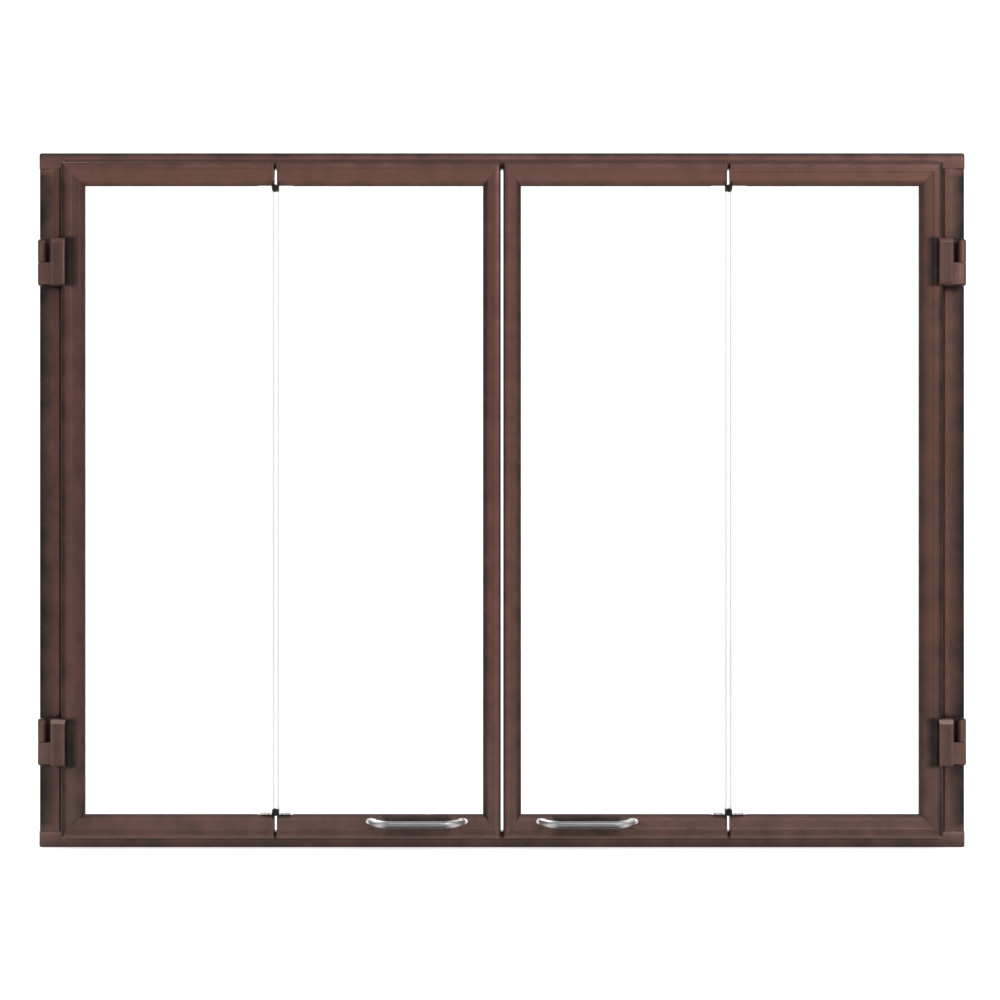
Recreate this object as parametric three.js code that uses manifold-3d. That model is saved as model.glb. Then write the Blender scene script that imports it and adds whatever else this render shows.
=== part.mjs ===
// Fireplace glass door: two pairs of bi-fold glass panels, left and right, that hang by side
// hinges on an overlay frame and need no track.
//
// Millimetres. +X is to the right as seen from the room, +Y goes into the fireplace, +Z is up.
// The origin is on the underside of the sill, at the middle of its width and of its depth,
// where the frame stands on the hearth.
//
// Sections are drawn in two coordinates: u runs from a bar's outer edge towards the glass or
// the opening, and v runs from its front face towards the back.

import * as THREE from "three";
import { mergeVertices } from "three/addons/utils/BufferGeometryUtils.js";
import Module from "manifold-3d";

const wasm = await Module();
wasm.setup();

// ---- Driving dimensions -------------------------------------------------------------------

const GAP = 0.3; // clearance between two pieces that touch

// Overlay frame
const FRAME_WIDTH = 1016;
const FRAME_HEIGHT = 762;
const FRAME_DEPTH = 25.4;
const HEAD_FACE = 17.5; // visible width of head and sill, before the doors overlap them
const JAMB_FACE = 32;
const SHEET = 2.5; // wall of the frame's channel
const FACE_WALL = 3.2; // front wall, thicker where the groove runs
const INNER_LEG = 14; // depth of the leg that lines the opening
const HEAD_LIP = 12; // in-turned back lip that seats on the fireplace facing
const JAMB_LIP = 14;
const JAMB_EDGE_WIDTH = 4; // rounded outer edge
const JAMB_EDGE_DEPTH = 6.5;
const JAMB_SLOPE_DEPTH = 2.8; // the face slopes up from here to its crest
const JAMB_CREST_FROM = 16.5; // in u
const HEAD_EDGE_WIDTH = 2.5;
const HEAD_EDGE_DEPTH = 3.5;
const HEAD_SLOPE_DEPTH = 1.2;
const HEAD_CREST_FROM = 7; // in u
const HEAD_END_ROUND = 4; // front corners, seen from above
const HEAD_CORNER_ROUND = 3.5; // outer corners, seen from the room
const GROOVE_FROM = 22.5; // the groove along the jamb's face, in u
const GROOVE_TO = 27.5;
const GROOVE_DEPTH = 1.3;

// Door panels
const DOOR_EDGE_X = 480; // outer edge of the hinge stile
const DOOR_HALF_HEIGHT = 368;
const DOOR_THICKNESS = 19.5;
const DOOR_STANDOFF = 2; // between the frame's face and the back of the doors
const RAIL_FACE = 25.4;
const LEAD_STILE_FACE = 19;
const CENTRE_GAP = 2.6; // between the two lead stiles
const FOLD_X = 246.8; // fold axis
const RAIL_GAP = 5; // clear gap between the rails at the fold
const EDGE_DEPTH = 4.2; // rounded outer edge
const CREST_FROM = 6.5; // raised band along the outer edge, in u
const CREST_TO = 10.5;
const FACE_RECESS = 1; // the flat beside the crest lies this much lower
const GLAZING_BEVEL_WIDTH = 5;
const GLAZING_BEVEL_DEPTH = 6;
const SLOT_DEPTH = 10; // slot that holds the glass
const SLOT_BACKING = 10; // least width left between the outer edge and the slot
const BACK_SETBACK = 3; // the back leg of the slot ends this far outside the front one
const CHAMBER_WALL = 2;
const CHAMBER_FRONT = 4; // v where the hollow chamber starts

// Glass
const GLASS_THICKNESS = 5;
const GLASS_FRONT = 8; // v of its front face
const GLASS_ARRIS = 0.6;
const GLASS_BITE = 9.6; // how far it enters a rail or the hinge stile
const GLASS_FOLD_GAP = 3;

// Side hinges
const HINGE_AXIS_X = 502;
const HINGE_AXIS_Y = -9.5; // in front of the frame's face
const HINGE_HEIGHT = { top: 259.5, bottom: -264 }; // of the hinge's middle
const BARREL_RADIUS = 5;
const BARREL_BORE = 2.9;
const PIN_RADIUS = 2.5;
const BARREL_HALF = 24;
const KNUCKLE_GAP = 0.8;
const LEAF_HALF = 25.5;
const LEAF_THICKNESS = 2.5;
const LEAF_WIDTH = 18.5; // from the axis towards the opening
const LEAF_LIP = 2; // from the axis towards the outer edge
const LEAF_SCREW_X = 11; // from the axis
const LEAF_SCREW_Z = 16; // above and below the middle of the hinge
const FRAME_WEB = [-3, 2]; // x range of the rib between the leaf and its knuckle
const DOOR_WEB = [-5, 3.5]; // y range of the rib between the block and its knuckle
const HINGE_BLOCK_INNER_X = 474.5;
const HINGE_BLOCK_OUTER_X = 490.2;
const HINGE_PROUD = 5.5; // how far the block stands in front of the door
const HINGE_CHAMFER = 4;
const HINGE_FRONT_ROUND = 2.5;
const HINGE_SCREW_HOLE = 2.3;
const PIN_HEAD = { radius: 4.6, height: 1.8, play: 0.2 };

// Fold hinges
const FOLD_KNUCKLE_RADIUS = 3.25;
const FOLD_BORE = 1.65;
const FOLD_PIN_RADIUS = 1.3;
const FOLD_PLATE = 1.5; // end plate on the rail
const FOLD_TOE = 15; // length of the toe that lies on the bottom rail's inner edge
const FOLD_TOE_HEIGHT = 2.6;
const FOLD_TOE_FRONT = 2.6; // behind the doors' front plane
const FOLD_TOE_BACK = 7.2;
const FOLD_ARM = [0.2, 3.2]; // y range of the arm between the plate and its knuckle
const OUTER_KNUCKLE = [-3.2, -0.4]; // heights below the rail's inner edge
const INNER_KNUCKLE = [-6.4, -3.6];
const FOLD_PIN_SPAN = [-6.8, -0.1];
const FOLD_PIN_HEAD = { radius: 2.3, height: 0.9 };

// Handles
const HANDLE_X = 92.5;
const HANDLE_DROP = 349.3; // below the middle of the door
const HANDLE_FOOT_X = 49.5; // foot centre from the handle's middle
const HANDLE_FOOT_LENGTH = 12.5;
const HANDLE_FOOT_WIDTH = 7.2;
const HANDLE_FOOT_RISE = 2;
const HANDLE_BAR_RADIUS = 3.8;
const HANDLE_REACH = 26; // bar centre in front of the rail
const HANDLE_LEG = [
  // inwards from the foot centre, and share of the reach
  [1.5, 0.22],
  [5.5, 0.54],
  [11.5, 0.84],
  [19, 0.98],
  [27, 1],
];

// Catches
const CATCH_X = 29;
const CATCH_WIDTH = 30;
const CATCH_HEIGHT = 11;
const CATCH_DEPTH = 17;
const CATCH_FRONT = 0.2; // behind the frame's face
const CATCH_EAR = 8; // screw flange on each side
const CATCH_EAR_THICKNESS = 2;
const CATCH_EAR_FROM = 1.5; // behind the frame's face
const POLE_X = 4; // from the catch's middle
const POLE_THICKNESS = 2;
const POLE_HEIGHT = 7.5;
const POLE_PROUD = 0.6;
const STRIKE_WIDTH = 26;
const STRIKE_HEIGHT = 12;
const STRIKE_THICKNESS = 1;
const STRIKE_ABOVE = 10; // above the rail's inner edge

// Brackets that tie the frame to the masonry
const BRACKET_HEIGHT_ABOVE_MIDDLE = 200;
const BRACKET_WIDTH = 30;
const BRACKET_REACH = 62; // to this far behind the frame's face
const BRACKET_OFFSET = 5; // joggle towards the side wall of the opening
const BRACKET_START = 3; // behind the frame's face
const BRACKET_SCREW_DEPTH = 8.5;
const BRACKET_SCREW_Z = 8; // above and below the strap's middle
const BRACKET_SLOT = { radius: 3.5, from: 32, to: 52 }; // centres of its ends, in depth

// Corner keys inside the frame
const KEY_LEG = 62;
const KEY_THICKNESS = 2;
const KEY_HOLE = 2.1;
const KEY_SCREWS = [0.45, 0.85]; // shares of a leg's length

// ---- Materials ------------------------------------------------------------------------------

const bronze = { color: 0x62483f, roughness: 0.5, metalness: 0.7 };
const darkBronze = { color: 0x4c3a34, roughness: 0.5, metalness: 0.7 };
const nickel = { color: 0xc9c8c4, roughness: 0.28, metalness: 1.0 };
const zinc = { color: 0x9b9c9c, roughness: 0.45, metalness: 0.9 };
const magnetHousing = { color: 0x3a3836, roughness: 0.6, metalness: 0.0 };
const clearGlass = { color: 0xdfe9e4, roughness: 0.03, metalness: 0.0 };

// ---- Geometry helpers -----------------------------------------------------------------------

const X = new THREE.Vector3(1, 0, 0);
const Y = new THREE.Vector3(0, 1, 0);
const Z = new THREE.Vector3(0, 0, 1);

// Positions only, with shared vertices merged, so that a boolean can read the surface as closed.
function bare(geometry) {
  geometry.deleteAttribute("normal");
  geometry.deleteAttribute("uv");
  return mergeVertices(geometry, 1e-4);
}

// Moves a geometry's own x, y, z onto the axes given, and turns its faces round if that mirrors it.
function laid(geometry, xAxis, yAxis, zAxis, origin = new THREE.Vector3()) {
  const matrix = new THREE.Matrix4().makeBasis(xAxis, yAxis, zAxis).setPosition(origin);
  geometry.applyMatrix4(matrix);
  if (matrix.determinant() < 0) {
    const index = geometry.index.array;
    for (let i = 0; i < index.length; i += 3) {
      [index[i + 1], index[i + 2]] = [index[i + 2], index[i + 1]];
    }
  }
  return geometry;
}

function extruded(shape, depth, curveSegments = 5) {
  return bare(new THREE.ExtrudeGeometry(shape, { depth, curveSegments, bevelEnabled: false }));
}

function box(x0, x1, y0, y1, z0, z1) {
  const geometry = bare(new THREE.BoxGeometry(x1 - x0, y1 - y0, z1 - z0));
  return geometry.translate((x0 + x1) / 2, (y0 + y1) / 2, (z0 + z1) / 2);
}

// An upright cylinder between two heights.
function post(radius, z0, z1, segments = 20) {
  const geometry = bare(new THREE.CylinderGeometry(radius, radius, z1 - z0, segments));
  return laid(geometry, X, Z, Y.clone().negate()).translate(0, 0, (z0 + z1) / 2);
}

// An upright turned piece from (radius, height) pairs that start and end on the axis.
function turned(profile, segments = 20) {
  const points = profile.map(([r, h]) => new THREE.Vector2(r, h));
  return laid(bare(new THREE.LatheGeometry(points, segments)), X, Z, Y.clone().negate());
}

function polygon(points) {
  return new THREE.Shape(points.map(([x, y]) => new THREE.Vector2(x, y)));
}

function roundHole(shape, x, y, radius) {
  const hole = new THREE.Path();
  hole.absarc(x, y, radius, 0, 2 * Math.PI, true);
  shape.holes.push(hole);
}

function solid(geometry) {
  const vertProperties = new Float32Array(geometry.getAttribute("position").array);
  const triVerts = new Uint32Array(geometry.index.array);
  return new wasm.Manifold(new wasm.Mesh({ numProp: 3, vertProperties, triVerts }));
}

function geometryOf(manifold) {
  const { vertProperties, triVerts, numProp } = manifold.getMesh();
  const geometry = new THREE.BufferGeometry();
  const interleaved = new THREE.InterleavedBuffer(vertProperties, numProp);
  geometry.setAttribute("position", new THREE.InterleavedBufferAttribute(interleaved, 3, 0));
  geometry.setIndex(new THREE.BufferAttribute(triVerts, 1));
  return geometry.toNonIndexed();
}

// Joins the first list of geometries into one solid and cuts the second list out of it.
function joined(parts, cuts = []) {
  let whole = solid(parts[0]);
  for (const part of parts.slice(1)) whole = whole.add(solid(part));
  for (const cut of cuts) whole = whole.subtract(solid(cut));
  return geometryOf(whole);
}

function common(a, b) {
  return geometryOf(solid(bare(a)).intersect(solid(bare(b))));
}

function piece(name, geometry, finish) {
  const mesh = new THREE.Mesh(geometry, new THREE.MeshStandardMaterial({ ...finish, flatShading: true }));
  mesh.name = name;
  return mesh;
}

function groupAt(x, y, z, ...children) {
  const group = new THREE.Group();
  group.position.set(x, y, z);
  for (const child of children) group.add(child);
  return group;
}

// ---- Frame ----------------------------------------------------------------------------------

// Open-backed channel of a jamb: outer leg, face that slopes up from a rounded edge to a flat
// crest and a groove, inner leg, and a back lip on the outer leg.
function jambSection() {
  const shape = new THREE.Shape();
  const grooveMiddle = (GROOVE_FROM + GROOVE_TO) / 2;
  shape.moveTo(0, FRAME_DEPTH);
  shape.lineTo(0, JAMB_EDGE_DEPTH);
  shape.quadraticCurveTo(0.4, JAMB_SLOPE_DEPTH + 0.4, JAMB_EDGE_WIDTH, JAMB_SLOPE_DEPTH);
  shape.lineTo(JAMB_CREST_FROM, 0);
  shape.lineTo(GROOVE_FROM, 0);
  shape.quadraticCurveTo(grooveMiddle, 2 * GROOVE_DEPTH, GROOVE_TO, 0);
  shape.lineTo(JAMB_FACE, 0);
  shape.lineTo(JAMB_FACE, INNER_LEG);
  shape.lineTo(JAMB_FACE - SHEET, INNER_LEG);
  shape.lineTo(JAMB_FACE - SHEET, FACE_WALL);
  shape.lineTo(JAMB_CREST_FROM, FACE_WALL);
  shape.lineTo(SHEET, JAMB_EDGE_DEPTH + SHEET);
  shape.lineTo(SHEET, FRAME_DEPTH - SHEET);
  shape.lineTo(JAMB_LIP, FRAME_DEPTH - SHEET);
  shape.lineTo(JAMB_LIP, FRAME_DEPTH);
  return shape;
}

// The same channel, narrower and with a small rounded edge, for head and sill.
function headSection() {
  const shape = new THREE.Shape();
  shape.moveTo(0, FRAME_DEPTH);
  shape.lineTo(0, HEAD_EDGE_DEPTH);
  shape.quadraticCurveTo(0.2, HEAD_SLOPE_DEPTH + 0.2, HEAD_EDGE_WIDTH, HEAD_SLOPE_DEPTH);
  shape.lineTo(HEAD_CREST_FROM, 0);
  shape.lineTo(HEAD_FACE, 0);
  shape.lineTo(HEAD_FACE, INNER_LEG);
  shape.lineTo(HEAD_FACE - SHEET, INNER_LEG);
  shape.lineTo(HEAD_FACE - SHEET, FACE_WALL);
  shape.lineTo(HEAD_CREST_FROM, FACE_WALL);
  shape.lineTo(SHEET, HEAD_EDGE_DEPTH + SHEET);
  shape.lineTo(SHEET, FRAME_DEPTH - SHEET);
  shape.lineTo(HEAD_LIP, FRAME_DEPTH - SHEET);
  shape.lineTo(HEAD_LIP, FRAME_DEPTH);
  return shape;
}

// Bar from -half to half in x and from 0 to y1, whose two corners at y = 0 are rounded.
function roundedBar(half, y1, round) {
  const shape = new THREE.Shape();
  shape.moveTo(-half, y1);
  shape.lineTo(-half, round);
  shape.quadraticCurveTo(-half, 0, -half + round, 0);
  shape.lineTo(half - round, 0);
  shape.quadraticCurveTo(half, 0, half, round);
  shape.lineTo(half, y1);
  return shape;
}

// Head, which runs the full width over the jambs. Its ends are closed by welded plates. Its
// corners are rounded as seen from above and as seen from the room.
function headGeometry() {
  const half = FRAME_WIDTH / 2;
  const down = Z.clone().negate();
  const top = new THREE.Vector3(-half, 0, FRAME_HEIGHT / 2);
  const channel = laid(extruded(headSection(), FRAME_WIDTH), down, Y, X, top);
  const bottom = FRAME_HEIGHT / 2 - HEAD_FACE;
  const plates = [-1, 1].map((side) => {
    const inner = side * (half - SHEET);
    const outer = side * half;
    const [x0, x1] = [Math.min(inner, outer), Math.max(inner, outer)];
    return box(x0, x1, FACE_WALL / 2, FRAME_DEPTH, bottom, FRAME_HEIGHT / 2 - SHEET / 2);
  });
  const plan = extruded(roundedBar(half, FRAME_DEPTH, HEAD_END_ROUND), FRAME_HEIGHT);
  const view = extruded(roundedBar(half, FRAME_HEIGHT, HEAD_CORNER_ROUND), FRAME_DEPTH);
  const elevation = laid(view, X, down, Y, new THREE.Vector3(0, 0, FRAME_HEIGHT / 2));
  return common(common(joined([channel, ...plates]), plan), elevation);
}

function jambGeometry() {
  const length = FRAME_HEIGHT - 2 * HEAD_FACE - 2 * GAP;
  const inwards = X.clone().negate();
  const foot = new THREE.Vector3(FRAME_WIDTH / 2, 0, -length / 2);
  return laid(extruded(jambSection(), length), inwards, Y, Z, foot);
}

// L-shaped plate inside a top right-hand corner, screwed to the back lips of head and jamb.
function cornerKeyGeometry() {
  const right = FRAME_WIDTH / 2 - SHEET - GAP;
  const top = FRAME_HEIGHT / 2 - SHEET - GAP;
  const jambEdge = FRAME_WIDTH / 2 - JAMB_LIP + GAP;
  const headEdge = FRAME_HEIGHT / 2 - HEAD_LIP + GAP;
  const shape = polygon([
    [right - KEY_LEG, top],
    [right - KEY_LEG, headEdge],
    [jambEdge, headEdge],
    [jambEdge, top - KEY_LEG],
    [right, top - KEY_LEG],
    [right, top],
  ]);
  for (const reach of KEY_SCREWS) {
    roundHole(shape, right - KEY_LEG * reach, (top + headEdge) / 2, KEY_HOLE);
    roundHole(shape, (right + jambEdge) / 2, top - KEY_LEG * reach, KEY_HOLE);
  }
  const back = new THREE.Vector3(0, FRAME_DEPTH - SHEET - GAP, 0);
  return laid(extruded(shape, KEY_THICKNESS, 3), X, Z, Y.clone().negate(), back);
}

// Joggled strap with a slot: one end lies on the jamb's inner leg, the other on the side wall.
function bracketGeometry() {
  const face = FRAME_WIDTH / 2 - JAMB_FACE - GAP;
  const inner = face - SHEET;
  const joggleStart = INNER_LEG + 1;
  const joggleEnd = joggleStart + BRACKET_OFFSET + 1;
  const strap = polygon([
    [inner, BRACKET_START],
    [face, BRACKET_START],
    [face, joggleStart],
    [face + BRACKET_OFFSET, joggleEnd],
    [face + BRACKET_OFFSET, BRACKET_REACH],
    [inner + BRACKET_OFFSET, BRACKET_REACH],
    [inner + BRACKET_OFFSET, joggleEnd + 1],
    [inner, joggleStart + 1],
  ]);
  const { radius, from, to } = BRACKET_SLOT;
  const slot = new THREE.Shape();
  slot.absarc(to, 0, radius, -Math.PI / 2, Math.PI / 2, false);
  slot.absarc(from, 0, radius, Math.PI / 2, (3 * Math.PI) / 2, false);
  const through = 2 * BRACKET_OFFSET + SHEET;
  const cutStart = inner - BRACKET_OFFSET;
  const cutter = laid(extruded(slot, through), Y, Z, X, new THREE.Vector3(cutStart, 0, 0));
  const screwHoles = [-BRACKET_SCREW_Z, BRACKET_SCREW_Z].map((z) => {
    const hole = post(HINGE_SCREW_HOLE, 0, through, 10);
    return laid(hole, Y, Z, X, new THREE.Vector3(cutStart, BRACKET_SCREW_DEPTH, z));
  });
  const body = extruded(strap, BRACKET_WIDTH).translate(0, 0, -BRACKET_WIDTH / 2);
  return joined([body], [cutter, ...screwHoles]);
}

// Magnetic catch under the head: a housing on a screw flange, with two pole plates in front.
function catchGeometry() {
  const top = FRAME_HEIGHT / 2 - HEAD_FACE - GAP;
  const half = CATCH_WIDTH / 2;
  const ear = half + CATCH_EAR;
  const earLow = top - CATCH_EAR_THICKNESS;
  const poles = [-POLE_X, POLE_X].map((x) => {
    const [x0, x1] = [x - POLE_THICKNESS / 2, x + POLE_THICKNESS / 2];
    return box(x0, x1, CATCH_FRONT - POLE_PROUD, CATCH_DEPTH, earLow - POLE_HEIGHT, earLow);
  });
  return joined([
    box(-half, half, CATCH_FRONT, CATCH_DEPTH, top - CATCH_HEIGHT, top),
    box(-ear, ear, CATCH_EAR_FROM, INNER_LEG - 1, earLow, top),
    ...poles,
  ]);
}

// ---- Side hinges, drawn round their own axis -----------------------------------------------

// Plate on the frame's face with the upper knuckle.
function frameLeafGeometry() {
  const back = -HINGE_AXIS_Y - GAP;
  const front = back - LEAF_THICKNESS;
  const plate = polygon([
    [-LEAF_WIDTH, -LEAF_HALF],
    [LEAF_LIP, -LEAF_HALF],
    [LEAF_LIP, LEAF_HALF],
    [-LEAF_WIDTH, LEAF_HALF],
  ]);
  for (const z of [-LEAF_SCREW_Z, LEAF_SCREW_Z]) roundHole(plate, -LEAF_SCREW_X, z, HINGE_SCREW_HOLE);
  const seat = new THREE.Vector3(0, back, 0);
  const leaf = laid(extruded(plate, LEAF_THICKNESS, 3), X, Z, Y.clone().negate(), seat);
  const low = KNUCKLE_GAP / 2;
  const knuckle = post(BARREL_RADIUS, low, BARREL_HALF);
  const web = box(...FRAME_WEB, PIN_RADIUS, front + 0.5, low, BARREL_HALF);
  return joined([leaf, knuckle, web], [post(BARREL_BORE, -1, BARREL_HALF + 1)]);
}

// Block that clasps the edge of the hinge stile, with the lower knuckle.
function doorLeafGeometry() {
  const inner = HINGE_BLOCK_INNER_X - HINGE_AXIS_X;
  const outer = HINGE_BLOCK_OUTER_X - HINGE_AXIS_X;
  const stile = DOOR_EDGE_X + GAP - HINGE_AXIS_X;
  const doorFront = -DOOR_STANDOFF - DOOR_THICKNESS - HINGE_AXIS_Y;
  const front = doorFront - HINGE_PROUD;
  const back = BARREL_RADIUS;
  const round = HINGE_FRONT_ROUND;
  const plan = new THREE.Shape();
  plan.moveTo(inner, doorFront - GAP);
  plan.lineTo(inner, front + round);
  plan.quadraticCurveTo(inner, front, inner + round, front);
  plan.lineTo(outer - round, front);
  plan.quadraticCurveTo(outer, front, outer, front + round);
  plan.lineTo(outer, back);
  plan.lineTo(stile, back);
  plan.lineTo(stile, doorFront - GAP);
  const block = extruded(plan, 2 * LEAF_HALF, 4).translate(0, 0, -LEAF_HALF);
  const chamfered = polygon([
    [back + 1, -LEAF_HALF],
    [front + HINGE_CHAMFER, -LEAF_HALF],
    [front, -LEAF_HALF + HINGE_CHAMFER * 0.7],
    [front, LEAF_HALF - HINGE_CHAMFER],
    [front + HINGE_CHAMFER, LEAF_HALF],
    [back + 1, LEAF_HALF],
  ]);
  const width = outer - inner;
  const side = laid(extruded(chamfered, 2 * width), Y, Z, X, new THREE.Vector3(inner - 1, 0, 0));
  const high = -KNUCKLE_GAP / 2;
  const knuckle = post(BARREL_RADIUS, -BARREL_HALF, high);
  const web = box(outer - 1, 0, ...DOOR_WEB, -BARREL_HALF, high);
  return joined([bare(common(block, side)), web, knuckle], [post(BARREL_BORE, -BARREL_HALF - 2, 1)]);
}

// Pin between two heights with a domed head at each end.
function pinGeometry(radius, head, z0, z1, segments) {
  const { radius: headRadius, height: headHeight } = head;
  const crown = headHeight * 0.45;
  return turned(
    [
      [0, z0 - headHeight],
      [headRadius * 0.7, z0 - headHeight],
      [headRadius, z0 - crown],
      [headRadius, z0],
      [radius, z0],
      [radius, z1],
      [headRadius, z1],
      [headRadius, z1 + crown],
      [headRadius * 0.7, z1 + headHeight],
      [0, z1 + headHeight],
    ],
    segments,
  );
}

// ---- Door panels ----------------------------------------------------------------------------

// Distance from a bar's outer edge to the floor of its glass slot.
function slotFloorOf(face) {
  return face - Math.min(SLOT_DEPTH, face - SLOT_BACKING);
}

// Outline of a rail or stile: rounded outer edge, raised crest, recessed flat, bevel down to the
// glass, and the slot that holds it. A narrow stile has a narrower edge and crest.
function doorOutline(face) {
  const slotFloor = slotFloorOf(face);
  const bevelStart = face - GLAZING_BEVEL_WIDTH;
  const narrow = Math.min(1, (face - GLAZING_BEVEL_WIDTH) / (RAIL_FACE - GLAZING_BEVEL_WIDTH));
  const crestFrom = CREST_FROM * narrow;
  const crestTo = CREST_TO * narrow;
  const shape = new THREE.Shape();
  shape.moveTo(0, DOOR_THICKNESS);
  shape.lineTo(0, EDGE_DEPTH);
  shape.quadraticCurveTo(0.3, EDGE_DEPTH * 0.35, crestFrom, 0);
  shape.lineTo(crestTo, 0);
  shape.lineTo(crestTo + FACE_RECESS, FACE_RECESS);
  shape.lineTo(bevelStart, FACE_RECESS);
  shape.lineTo(face, GLAZING_BEVEL_DEPTH);
  shape.lineTo(face, GLASS_FRONT - GAP);
  shape.lineTo(slotFloor, GLASS_FRONT - GAP);
  shape.lineTo(slotFloor, GLASS_FRONT + GLASS_THICKNESS + GAP);
  shape.lineTo(face - BACK_SETBACK, GLASS_FRONT + GLASS_THICKNESS + GAP);
  shape.lineTo(face - BACK_SETBACK, DOOR_THICKNESS);
  return shape;
}

// The outline with the hollow chamber of the extrusion beside the slot.
function doorSection(face) {
  const shape = doorOutline(face);
  const chamberEnd = slotFloorOf(face) - CHAMBER_WALL;
  const chamber = new THREE.Path();
  chamber.moveTo(CHAMBER_WALL, CHAMBER_FRONT);
  chamber.lineTo(chamberEnd, CHAMBER_FRONT);
  chamber.lineTo(chamberEnd, DOOR_THICKNESS - CHAMBER_WALL);
  chamber.lineTo(CHAMBER_WALL, DOOR_THICKNESS - CHAMBER_WALL);
  shape.holes.push(chamber);
  return shape;
}

// A bar along its own z whose ends are mitred: each end vertex moves in by u times that end's slope.
function mitredBar(shape, length, startSlope, endSlope) {
  const geometry = extruded(shape, length, 3);
  const position = geometry.getAttribute("position");
  for (let i = 0; i < position.count; i += 1) {
    const u = position.getX(i);
    const atEnd = position.getZ(i) > length / 2;
    position.setZ(i, atEnd ? length - u * endSlope - GAP / 2 : u * startSlope + GAP / 2);
  }
  return geometry;
}

// Upright stile. Its outer edge is at edgeX and the glass lies in direction +1 or -1 along X.
function stileGeometry(edgeX, direction, face) {
  const slope = RAIL_FACE / face;
  const bar = mitredBar(doorSection(face), 2 * DOOR_HALF_HEIGHT, slope, slope);
  const foot = new THREE.Vector3(edgeX, 0, -DOOR_HALF_HEIGHT);
  return laid(bar, X.clone().multiplyScalar(direction), Y, Z, foot);
}

// Top rail between the square end at the fold and the mitred end at edgeX.
function railGeometry(edgeX, stileFace) {
  const fold = FOLD_X + Math.sign(edgeX - FOLD_X) * (RAIL_GAP / 2 + FOLD_PLATE + GAP / 2);
  const along = X.clone().multiplyScalar(Math.sign(edgeX - fold));
  const bar = mitredBar(doorSection(RAIL_FACE), Math.abs(edgeX - fold), 0, stileFace / RAIL_FACE);
  const start = new THREE.Vector3(fold, 0, DOOR_HALF_HEIGHT);
  return laid(bar, Z.clone().negate(), Y, along, start);
}

function glassGeometry(x0, x1) {
  const top = DOOR_HALF_HEIGHT - RAIL_FACE + GLASS_BITE;
  const a = GLASS_ARRIS;
  const pane = polygon([
    [x0 + a, -top + a],
    [x1 - a, -top + a],
    [x1 - a, top - a],
    [x0 + a, top - a],
  ]);
  const arris = { bevelEnabled: true, bevelThickness: a, bevelSize: a, bevelSegments: 1 };
  const geometry = bare(new THREE.ExtrudeGeometry(pane, { depth: GLASS_THICKNESS - 2 * a, ...arris }));
  const back = new THREE.Vector3(0, GLASS_FRONT + GLASS_THICKNESS - a, 0);
  return laid(geometry, X, Z, Y.clone().negate(), back);
}

// ---- Fold hinges, drawn round their own axis; z = 0 is the inner edge of the top rail -------

// Leaf on the end of a rail: end plate, ear below it and one knuckle, and at the bottom also a
// toe along the rail. side is +1 on the outer panel and -1 on the inner panel.
function foldLeafGeometry(side, [knuckleLow, knuckleHigh], level) {
  const near = RAIL_GAP / 2;
  const far = near + FOLD_PLATE;
  const span = (a, b) => (side > 0 ? [a, b] : [-b, -a]);
  const [plateLow, plateHigh] = span(near, far);
  const [toeLow, toeHigh] = span(near, near + FOLD_TOE);
  const [armLow, armHigh] = span(0, far - 0.2);
  const outline = extruded(doorOutline(RAIL_FACE), FOLD_PLATE, 3);
  const plate = laid(outline, Z.clone().negate(), Y, X, new THREE.Vector3(plateLow, 0, RAIL_FACE));
  const parts = [
    plate,
    box(plateLow, plateHigh, FOLD_TOE_FRONT, FOLD_TOE_BACK, knuckleLow, 1),
    box(armLow, armHigh, ...FOLD_ARM, knuckleLow, knuckleHigh),
    post(FOLD_KNUCKLE_RADIUS, knuckleLow, knuckleHigh, 16),
  ];
  if (level === "bottom") {
    const toeTop = -GAP;
    parts.push(box(toeLow, toeHigh, FOLD_TOE_FRONT, FOLD_TOE_BACK, toeTop - FOLD_TOE_HEIGHT, toeTop));
  }
  return joined(parts, [post(FOLD_BORE, knuckleLow - 1, knuckleHigh + 1, 12)]);
}

// ---- Handle, drawn on the rail's face with its bar along X ----------------------------------

function handleGeometry() {
  const reach = HANDLE_REACH;
  const foot = HANDLE_FOOT_X;
  const half = [[foot, 1], ...HANDLE_LEG.map(([x, share]) => [foot - x, reach * share])];
  const left = half.map(([x, y]) => new THREE.Vector3(-x, -y, 0));
  const right = half.map(([x, y]) => new THREE.Vector3(x, -y, 0)).reverse();
  const middle = new THREE.Vector3(0, -reach, 0);
  const path = new THREE.CatmullRomCurve3([...left, middle, ...right], false, "centripetal");
  const section = new THREE.Shape();
  section.absarc(0, 0, HANDLE_BAR_RADIUS, 0, 2 * Math.PI, false);
  const bar = bare(new THREE.ExtrudeGeometry(section, { steps: 26, curveSegments: 6, extrudePath: path }));
  const feet = [-foot, foot].map((x) => {
    const dome = [[0, 0]];
    const rings = 4;
    for (let i = 0; i <= rings; i += 1) {
      const angle = (i / rings) * (Math.PI / 2);
      dome.push([Math.max(0, Math.cos(angle)), Math.sin(angle)]);
    }
    dome[dome.length - 1][0] = 0;
    const pad = turned(dome, 16).scale(HANDLE_FOOT_LENGTH / 2, HANDLE_FOOT_WIDTH / 2, HANDLE_FOOT_RISE);
    return laid(pad, X, Z, Y.clone().negate()).translate(x, 0, 0);
  });
  return joined([bar, ...feet]);
}

// ---- Assembly -------------------------------------------------------------------------------

const doorFrontY = -DOOR_STANDOFF - DOOR_THICKNESS;
const railInnerZ = DOOR_HALF_HEIGHT - RAIL_FACE;
const levels = [
  ["top", 1],
  ["bottom", -1],
];

// A group that stands upright for the top and upside down for the bottom.
function flippedFor(sign, ...children) {
  const group = new THREE.Group();
  group.scale.z = sign;
  for (const child of children) group.add(child);
  return group;
}

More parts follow.
